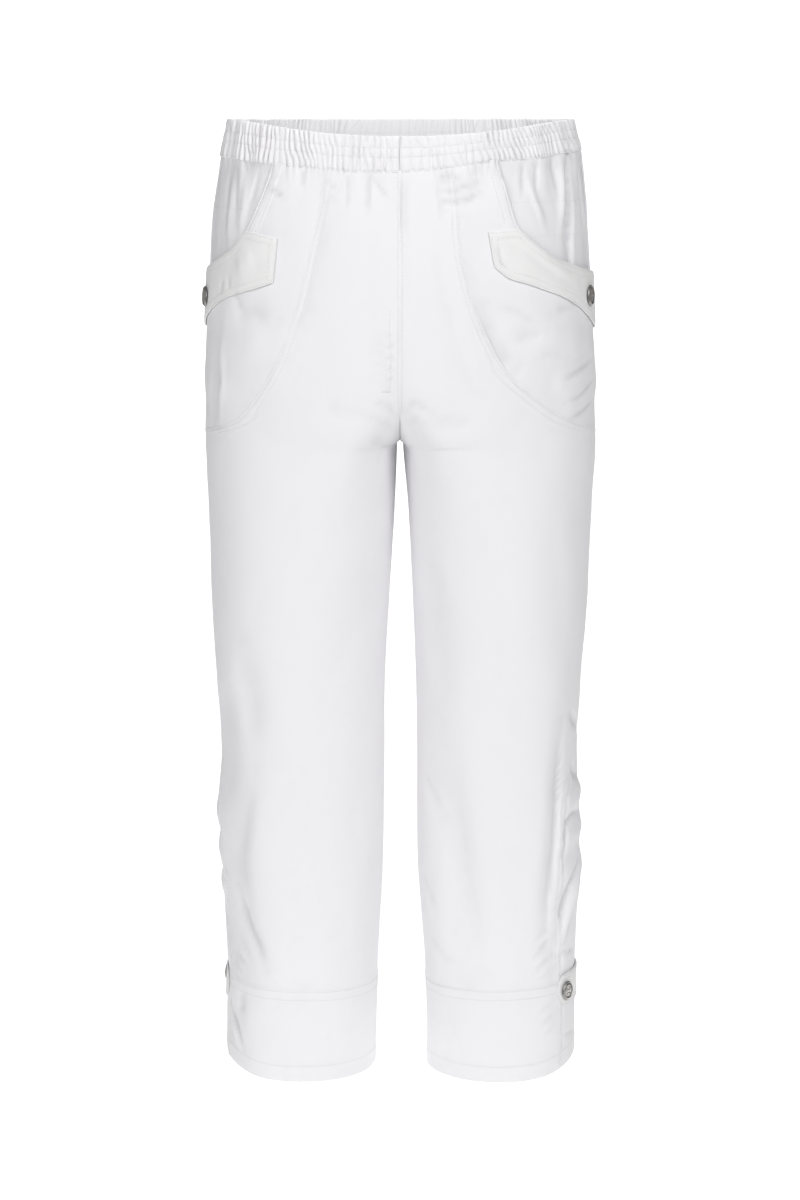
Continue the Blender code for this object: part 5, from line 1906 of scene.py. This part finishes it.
@dataclass
class Cuff(Part):
    """The cuff's two halves, with a stitched strip along the top, a hem, and the side tab."""

    cloth: float = 0.0016
    out: float = 0.0001
    hem_z: float = -0.8812
    hem_lift: float = 0.0127
    hem_lift_u: float = 0.47
    hem_lift_spread: float = 0.115
    step: float = 0.0030
    strip: float = 0.0105
    strip_insets: Pair = (0.0014, 0.0012)
    side_rows: Pair = (0.0016, 0.0048)
    hem_row: float = 0.0150
    vent_gap: float = 0.0016
    vent_top: float = -0.785
    vent_end: float = -0.850
    vent_sharpness: int = 8
    tab_out: float = 0.0019
    tab_half: float = 0.0150
    tab_rows: Pair = (0.0014, 0.0046)
    tab_turning: float = 0.002
    front_sheet: Sheet = Sheet("cuff_cloth", (0.215, 0.110), Held.FOLDED, "front", 0.0175)
    back_sheet: Sheet = Sheet("cuff_cloth", (0.260, 0.110), Held.FOLDED, "back", 0.0215)

    @property
    def strip_rows(self) -> Pair:
        """The strip's two rows of stitches, just inside its upper and lower edges."""
        return self.strip_insets[0], self.strip - self.strip_insets[1]

    def hem(self, u: Array) -> Array:
        """Give the hem's height: level, and lifted in a bell curve at the side."""
        return self.hem_z + self.hem_lift * bump(u, self.hem_lift_u, self.hem_lift_spread)

    def patch(self, face: Face) -> Array:
        """Give a half's patch, from the leg's lower edge to the hem.

        Its columns are even along the top and shift with the side seam further down.  On the
        wearer's right the back half draws away from that seam, which opens the vent.

        Args:
            face: which half.

        Returns:
            The patch, rows x columns x 2.
        """
        back = face is Face.BACK
        first = np.concatenate([EDGE_STEPS, [0.0140]])
        last = np.concatenate([EDGE_STEPS, [0.0132, 0.0143, 0.0150, 0.0157, 0.0168, 0.0185]])
        share = spread(0.086, self.step, first, last)[:, None]
        seam_top = float(self.drape.side_seam(np.array([CUFF_TOP_SIDE]))[0, 0])
        across = spread(abs(float(back) - seam_top) * GIRTH_PER_U, self.step)
        top_u = seam_top + (1 - seam_top) * across if back else seam_top * across
        nearness = 1 - np.abs(top_u - seam_top) / abs(top_u[-1] - top_u[0])
        top_z = CUFF_TOP_INSEAM + (CUFF_TOP_SIDE - CUFF_TOP_INSEAM) * nearness
        z = top_z * (1 - share) + self.hem(top_u) * share
        shift = self.drape.side_seam(z[:, 0 if back else -1])[:, :1] - seam_top
        u = top_u + shift * nearness
        if back and self.side is R:
            open_share = np.clip((z - self.vent_end) / (self.vent_top - self.vent_end), 0, 1)
            u = u + self.vent_gap / GIRTH_PER_U * open_share * nearness ** self.vent_sharpness
        return np.stack([u, z], axis=-1)

    def build_half(self, face: Face) -> Sewn:
        """Make the cuff's front or back half.

        Args:
            face: which half.

        Returns:
            The finished half.
        """
        front = face is Face.FRONT
        seam, inseam = (Edge.END, Edge.START) if front else (Edge.START, Edge.END)
        lapped = SeamLook(rows=self.side_rows, dip=0.0008, welt=0.0005, welt_width=0.0060,
                          pucker=0.00035, pucker_reach=0.012)
        looks = {
            Edge.TOP: (SeamLook(rows=self.strip_rows, dip=-0.0003, dip_width=0.0006, welt=0.0002,
                                groove=0.00012, welt_width=self.strip, pucker=0.00026,
                                pucker_reach=0.012),),
            Edge.BOTTOM: (SeamLook(rows=(self.hem_row,), groove=0.0002, dip=0.0002, welt=0.0003,
                                   welt_width=self.hem_row + 0.0008, pucker=0.00020,
                                   pucker_reach=0.017),),
            seam: (lapped if front else SeamLook(dip=0.0008, pucker=0.0002),),
            inseam: (SeamLook(dip=0.0006),),
        }
        sheet, seed = (self.front_sheet, 600) if front else (self.back_sheet, 700)
        return self.sew("cuff_" + face.value, self.patch(face), sheet, self.wardrobe.cuff, seed,
                        cloth=self.cloth, out=self.out, looks=looks)

    def tab_outline(self, along: Array, inset: float = 0.0) -> Array:
        """Give the tab's half width at distances from its tip: a half round, then level."""
        half = self.tab_half - inset
        turn = 1 - np.clip((along - inset) / half, 0.0, 1.0)
        return half * np.sqrt(1 - turn ** 2)

    def build_tab(self) -> Thread:
        """Make the tab that comes round from the back, and run its two rows of stitches."""
        trim = TRIM[self.side]
        tip_u, tab_z, length = trim.tab_tip, trim.tab_z, trim.tab_length
        turn = np.linspace(0.10, math.pi / 2, 22)
        along = np.concatenate([self.tab_half * (1 - np.cos(turn)),
                                np.linspace(self.tab_half, length, 24)[1:]])
        across = np.concatenate([1 - EDGE_STEPS[:10] / self.tab_half, [0.45, 0.3, 0.15, 0.0]])
        across = np.concatenate([across, -across[-2::-1]])
        half = self.tab_outline(along)
        z = tab_z + half[:, None] * across
        u = np.broadcast_to((tip_u + along / GIRTH_PER_U)[:, None], z.shape)
        from_axis = np.hypot(np.maximum(self.tab_half - along, 0)[:, None], z - tab_z)
        far = np.clip(np.minimum(self.tab_half - from_axis, (length - along)[:, None]), 0, None)
        near = np.clip(far / 0.0006, 0.0, 1.0)
        wall = CLOTH / 2 * (0.22 + 0.78 * np.sqrt(1 - (1 - near) ** 2))
        look = SeamLook(rows=self.tab_rows, dip=0.0002, welt=0.0002, welt_width=0.0055,
                        groove=0.00034)
        relief = look.relief(far, 0 * far, self.drape.seed + 800)
        normals = self.drape.outward(u, z)
        middle = self.drape.lay(u, z, np.full(u.shape, self.tab_out))
        outer = middle + normals * (relief + wall)[..., None]
        inner = middle + normals * (np.minimum(relief, 0) - wall)[..., None]
        grain = np.stack([u * GIRTH_PER_U, z], axis=-1)
        facing = normals[len(along) // 2, len(across) // 2]
        thing = make_shell(self.named("tab") + "_cloth", outer, inner, facing, grain)
        flat = length + self.tab_turning, 2 * self.tab_half + self.tab_turning
        sheet = Sheet("strap_cloth", flat, Held.FOLDED, "cuff_back")
        self.hand_over(thing, "tab", sheet, self.wardrobe.strap)
        thread = Thread(self.named("stitches_cuff"), pitch=0.0028)
        for row in self.tab_rows:
            turn = np.linspace(0.0, math.pi / 2, 30)
            tip = row + (self.tab_half - row) * (1 - np.cos(turn))
            run = np.concatenate([tip, np.linspace(self.tab_half, length - row, 40)[1:]])
            rise = self.tab_outline(run, row)
            at_u = tip_u + np.concatenate([run[::-1], run[1:]]) / GIRTH_PER_U
            at_z = tab_z + np.concatenate([rise[::-1], -rise[1:]])
            lift = self.tab_out + CLOTH / 2 - 0.0001
            line = self.drape.lay(at_u, at_z, np.full(at_u.shape, lift))
            thread.run((line, self.drape.outward(at_u, at_z)))
        return thread

    def stitch(self, front: Sewn, back: Sewn, thread: Thread) -> None:
        """Run the strip's two rows, the hem's row and the side's two rows."""
        for half in (front, back):
            for row in self.strip_rows:
                thread.run(half.row_at(Edge.TOP, row))
            thread.run(half.row_at(Edge.BOTTOM, self.hem_row))
        for row in self.side_rows:
            thread.run(front.row_at(Edge.END, row))
        dress(thread.make(), self.wardrobe.thread, self.front_sheet.slot)


@dataclass(kw_only=True)
class Button(Part):
    """A cast metal button: a domed rim with a rope edge, four petals and a centre bead.

    seat is the height of the cloth that it sits on, above the middle of the body cloth.
    """

    name: str
    layers: tuple[Layer, ...]
    place: Pair
    radius: float
    seat: float
    petals: int = 4
    beads: int = 28
    around: int = 112
    seat_gap: float = 0.00035
    face_height: float = 0.0012
    edge: tuple[Pair, ...] = (
        (0.55, 0.0), (0.80, 0.0001), (0.93, 0.0003), (0.985, 0.0006), (1.0, 0.0009),
        (0.995, 0.0012), (0.98, 0.0014))
    face_rings: int = 34
    rubbed: Pair = (0.0005, 0.0006)

    def profile(self, r: Array, angle: Array) -> Array:
        """Give the face's height at a share r of the radius and an angle.

        A raised rim with beads, a hollow ring, then petals: cosine lobes that are highest
        along their middle lines, with a bead at the centre.

        Args:
            r: the shares of the radius.
            angle: the angles round the centre.

        Returns:
            The height above the face.
        """
        rim = 0.0010 * bump(r, 0.88, 0.075)
        rope = 0.00022 * np.cos(self.beads * angle + 9 * (r - 0.88)) * bump(r, 0.88, 0.05)
        lobe = np.abs(np.cos(self.petals * angle / 2))
        petal = 0.0011 * lobe ** 0.7 * bump(r, 0.46, 0.22) * (0.75 + 0.25 * np.cos(r * 20))
        vein = -0.00022 * bump(lobe, 1.0, 0.03) * bump(r, 0.46, 0.2)
        bead = 0.0010 * bump(r, 0.0, 0.13)
        leaf = 0.0005 * np.abs(np.sin(self.petals * angle / 2)) ** 6 * bump(r, 0.62, 0.07)
        dome = 0.0007 * (1 - r ** 2)
        return dome + rim + rope + petal + vein + bead + leaf

    def build(self) -> None:
        """Make the button: rings from the seat, round the rim, to the centre of the face."""
        u, z = np.array(self.place)[:, None]
        normal = self.drape.outward(u, z)[0]
        seat = self.drape.lay(u, z, np.array([self.seat + self.seat_gap]), self.layers)[0]
        across = unit(np.cross(np.array([0.0, 0.0, 1.0]), normal))
        upward = np.cross(normal, across)
        angle = np.arange(self.around) * 2 * math.pi / self.around
        edge = np.array(self.edge)
        radii = np.concatenate([edge[:, 0], np.linspace(0.96, 0.02, self.face_rings)])
        rings = np.broadcast_to(radii[:, None], (len(radii), self.around))
        relief = self.profile(rings[len(edge):], angle[None, :])
        height = np.empty(rings.shape)
        height[:len(edge)] = edge[:, 1:]
        height[len(edge):] = self.face_height + relief
        wear = np.zeros(rings.shape)
        wear[len(edge):] = np.clip((relief - self.rubbed[0]) / self.rubbed[1], 0, 1)
        wear[len(edge) - 3:len(edge)] = 0.5
        reach = (rings * self.radius)[..., None]
        points = seat + reach * (np.cos(angle)[:, None] * across + np.sin(angle)[:, None] * upward)
        points = points + height[..., None] * normal
        middle = float(self.profile(np.array(0.0), np.array(0.0)))
        peak = seat + normal * (self.face_height + middle)
        everything = np.concatenate([points.reshape(-1, 3), [seat], [peak]])
        quads, caps = tube_faces(len(radii), self.around)
        name = self.named(self.name)
        thing = make_mesh(name + "_cast", everything, quads, caps, sharp=50.0)
        values = np.concatenate([wear.reshape(-1), [0.0, 1.0]]).astype(np.float32)
        thing.data.attributes.new("wear", "FLOAT", "POINT").data.foreach_set("value", values)
        dress(thing, self.wardrobe.silver, "button_metal", name)
        LOG.info("%s: %.1f mm across", name, 2000 * self.radius)


@dataclass(frozen=True)
class Lamp:
    """A square soft light: its place, the point that it faces, its side and its power."""

    name: str
    place: Triple
    aim: Triple
    size: float
    power: float

    def build(self) -> None:
        """Add the light to the scene."""
        lamp = bpy.data.lights.new(self.name, "AREA")
        lamp.shape, lamp.size, lamp.energy = "SQUARE", self.size, self.power
        thing = bpy.data.objects.new(self.name, lamp)
        thing.location = self.place
        x, y, z = np.array(self.place) - np.array(self.aim)
        thing.rotation_euler = (math.atan2(math.hypot(x, y), z), 0, math.atan2(x, -y))
        bpy.context.scene.collection.objects.link(thing)


LAMPS = (
    Lamp("key", (1.25, -2.4, 1.6), (0.0, 0.0, -0.25), 1.0, 48.5),
    Lamp("fill", (-1.5, -2.5, 0.7), (0.0, 0.0, -0.25), 1.8, 38.5),
    Lamp("low", (1.8, -2.3, -0.5), (0.0, 0.0, -0.45), 1.8, 3.5),
    Lamp("inside", (0.0, -0.08, 0.26), (0.0, 0.13, -0.02), 0.2, 0.26),
)
WHITE = (1.0, 1.0, 1.0, 1.0)


@dataclass
class Studio:
    """A pale floor that runs up into a backdrop, soft lights, and the camera."""

    floor_z: float = -1.40
    width: float = 3.8
    front_y: float = -0.9
    back_y: float = 5.4
    top_z: float = 3.0
    sweep: float = 1.2
    glow: float = 0.9
    world_strength: float = 0.22
    camera_y: float = -2.75
    camera_z: float = 0.02
    pitch: float = 9.4922
    lens: float = 90.337
    sensor: float = 36.0

    def backdrop(self) -> None:
        """Make the floor and backdrop: a line along the floor, a quarter turn, a line up."""
        turn = np.linspace(0, math.pi / 2, 24)
        bend_y = self.back_y - self.sweep + self.sweep * np.sin(turn)
        bend_z = self.floor_z + self.sweep * (1 - np.cos(turn))
        y = np.concatenate([[self.front_y], bend_y, [self.back_y]])
        z = np.concatenate([[self.floor_z], bend_z, [self.top_z]])
        x = np.linspace(-self.width / 2, self.width / 2, 9)
        grid = np.stack(np.broadcast_arrays(x[None, :], y[:, None], z[:, None]), axis=-1)
        quads = grid_quads(len(y), len(x))[:, ::-1]
        thing = make_mesh("backdrop", grid.reshape(-1, 3), quads, sharp=180.0)
        f = Finish("backdrop_paper")
        place = f.node("TexCoord", {}, {}, output="Object")
        grainy = f.noise(place, 6.0, 3.0)
        colour = f.blend(grainy, (0.93, 0.93, 0.93, 1.0), (0.90, 0.90, 0.90, 1.0))
        paper = f.finish(Base_Color=colour, Roughness=0.9, Emission_Color=WHITE,
                         Emission_Strength=self.glow)
        thing.data.materials.append(paper)

    def build(self) -> None:
        """Set the world, the backdrop, the lights and the camera."""
        scene = bpy.context.scene
        scene.view_settings.view_transform = "Standard"
        scene.view_settings.look = "None"
        world = bpy.data.worlds.new("studio")
        world.use_nodes = True
        background = world.node_tree.nodes["Background"]
        background.inputs["Color"].default_value = WHITE
        background.inputs["Strength"].default_value = self.world_strength
        scene.world = world
        self.backdrop()
        for lamp in LAMPS:
            lamp.build()
        camera = bpy.data.cameras.new("camera")
        camera.lens, camera.sensor_width = self.lens, self.sensor
        thing = bpy.data.objects.new("camera", camera)
        thing.location = (0.0, self.camera_y, self.camera_z)
        thing.rotation_euler = (math.radians(90 - self.pitch), 0, 0)
        scene.collection.objects.link(thing)
        scene.camera = thing


def make_side(side: Side, wardrobe: Wardrobe) -> None:
    """Make everything on one side of the wearer.

    Args:
        side: the side.
        wardrobe: the materials.
    """
    drape = Drape(side)
    band = Waistband(drape, wardrobe)
    band.stitch(band.build())
    legs = LegPanels(drape, wardrobe)
    legs.stitch(legs.build_front(), legs.build_back())
    pocket = HipPocket(drape, wardrobe)
    pocket.build_hip()
    pocket.stitch(pocket.build_pocket(), pocket.build_flap())
    cuff = Cuff(drape, wardrobe)
    front, back = cuff.build_half(Face.FRONT), cuff.build_half(Face.BACK)
    cuff.stitch(front, back, cuff.build_tab())
    trim = TRIM[side]
    Button(drape, wardrobe, name="flap_button", layers=(BODY, POCKET), place=trim.flap_button,
           radius=0.0092, seat=pocket.flap_out + pocket.flap_cloth / 2).build()
    Button(drape, wardrobe, name="tab_button", layers=(BODY,), place=trim.tab_button,
           radius=0.0085, seat=cuff.tab_out + CLOTH / 2).build()


def main() -> None:
    """Build the trousers and the studio."""
    logging.basicConfig(level=logging.INFO, format="%(message)s")
    wardrobe = Wardrobe.make()
    for side in Side:
        make_side(side, wardrobe)
    Studio().build()


if __name__ == "__main__":
    main()
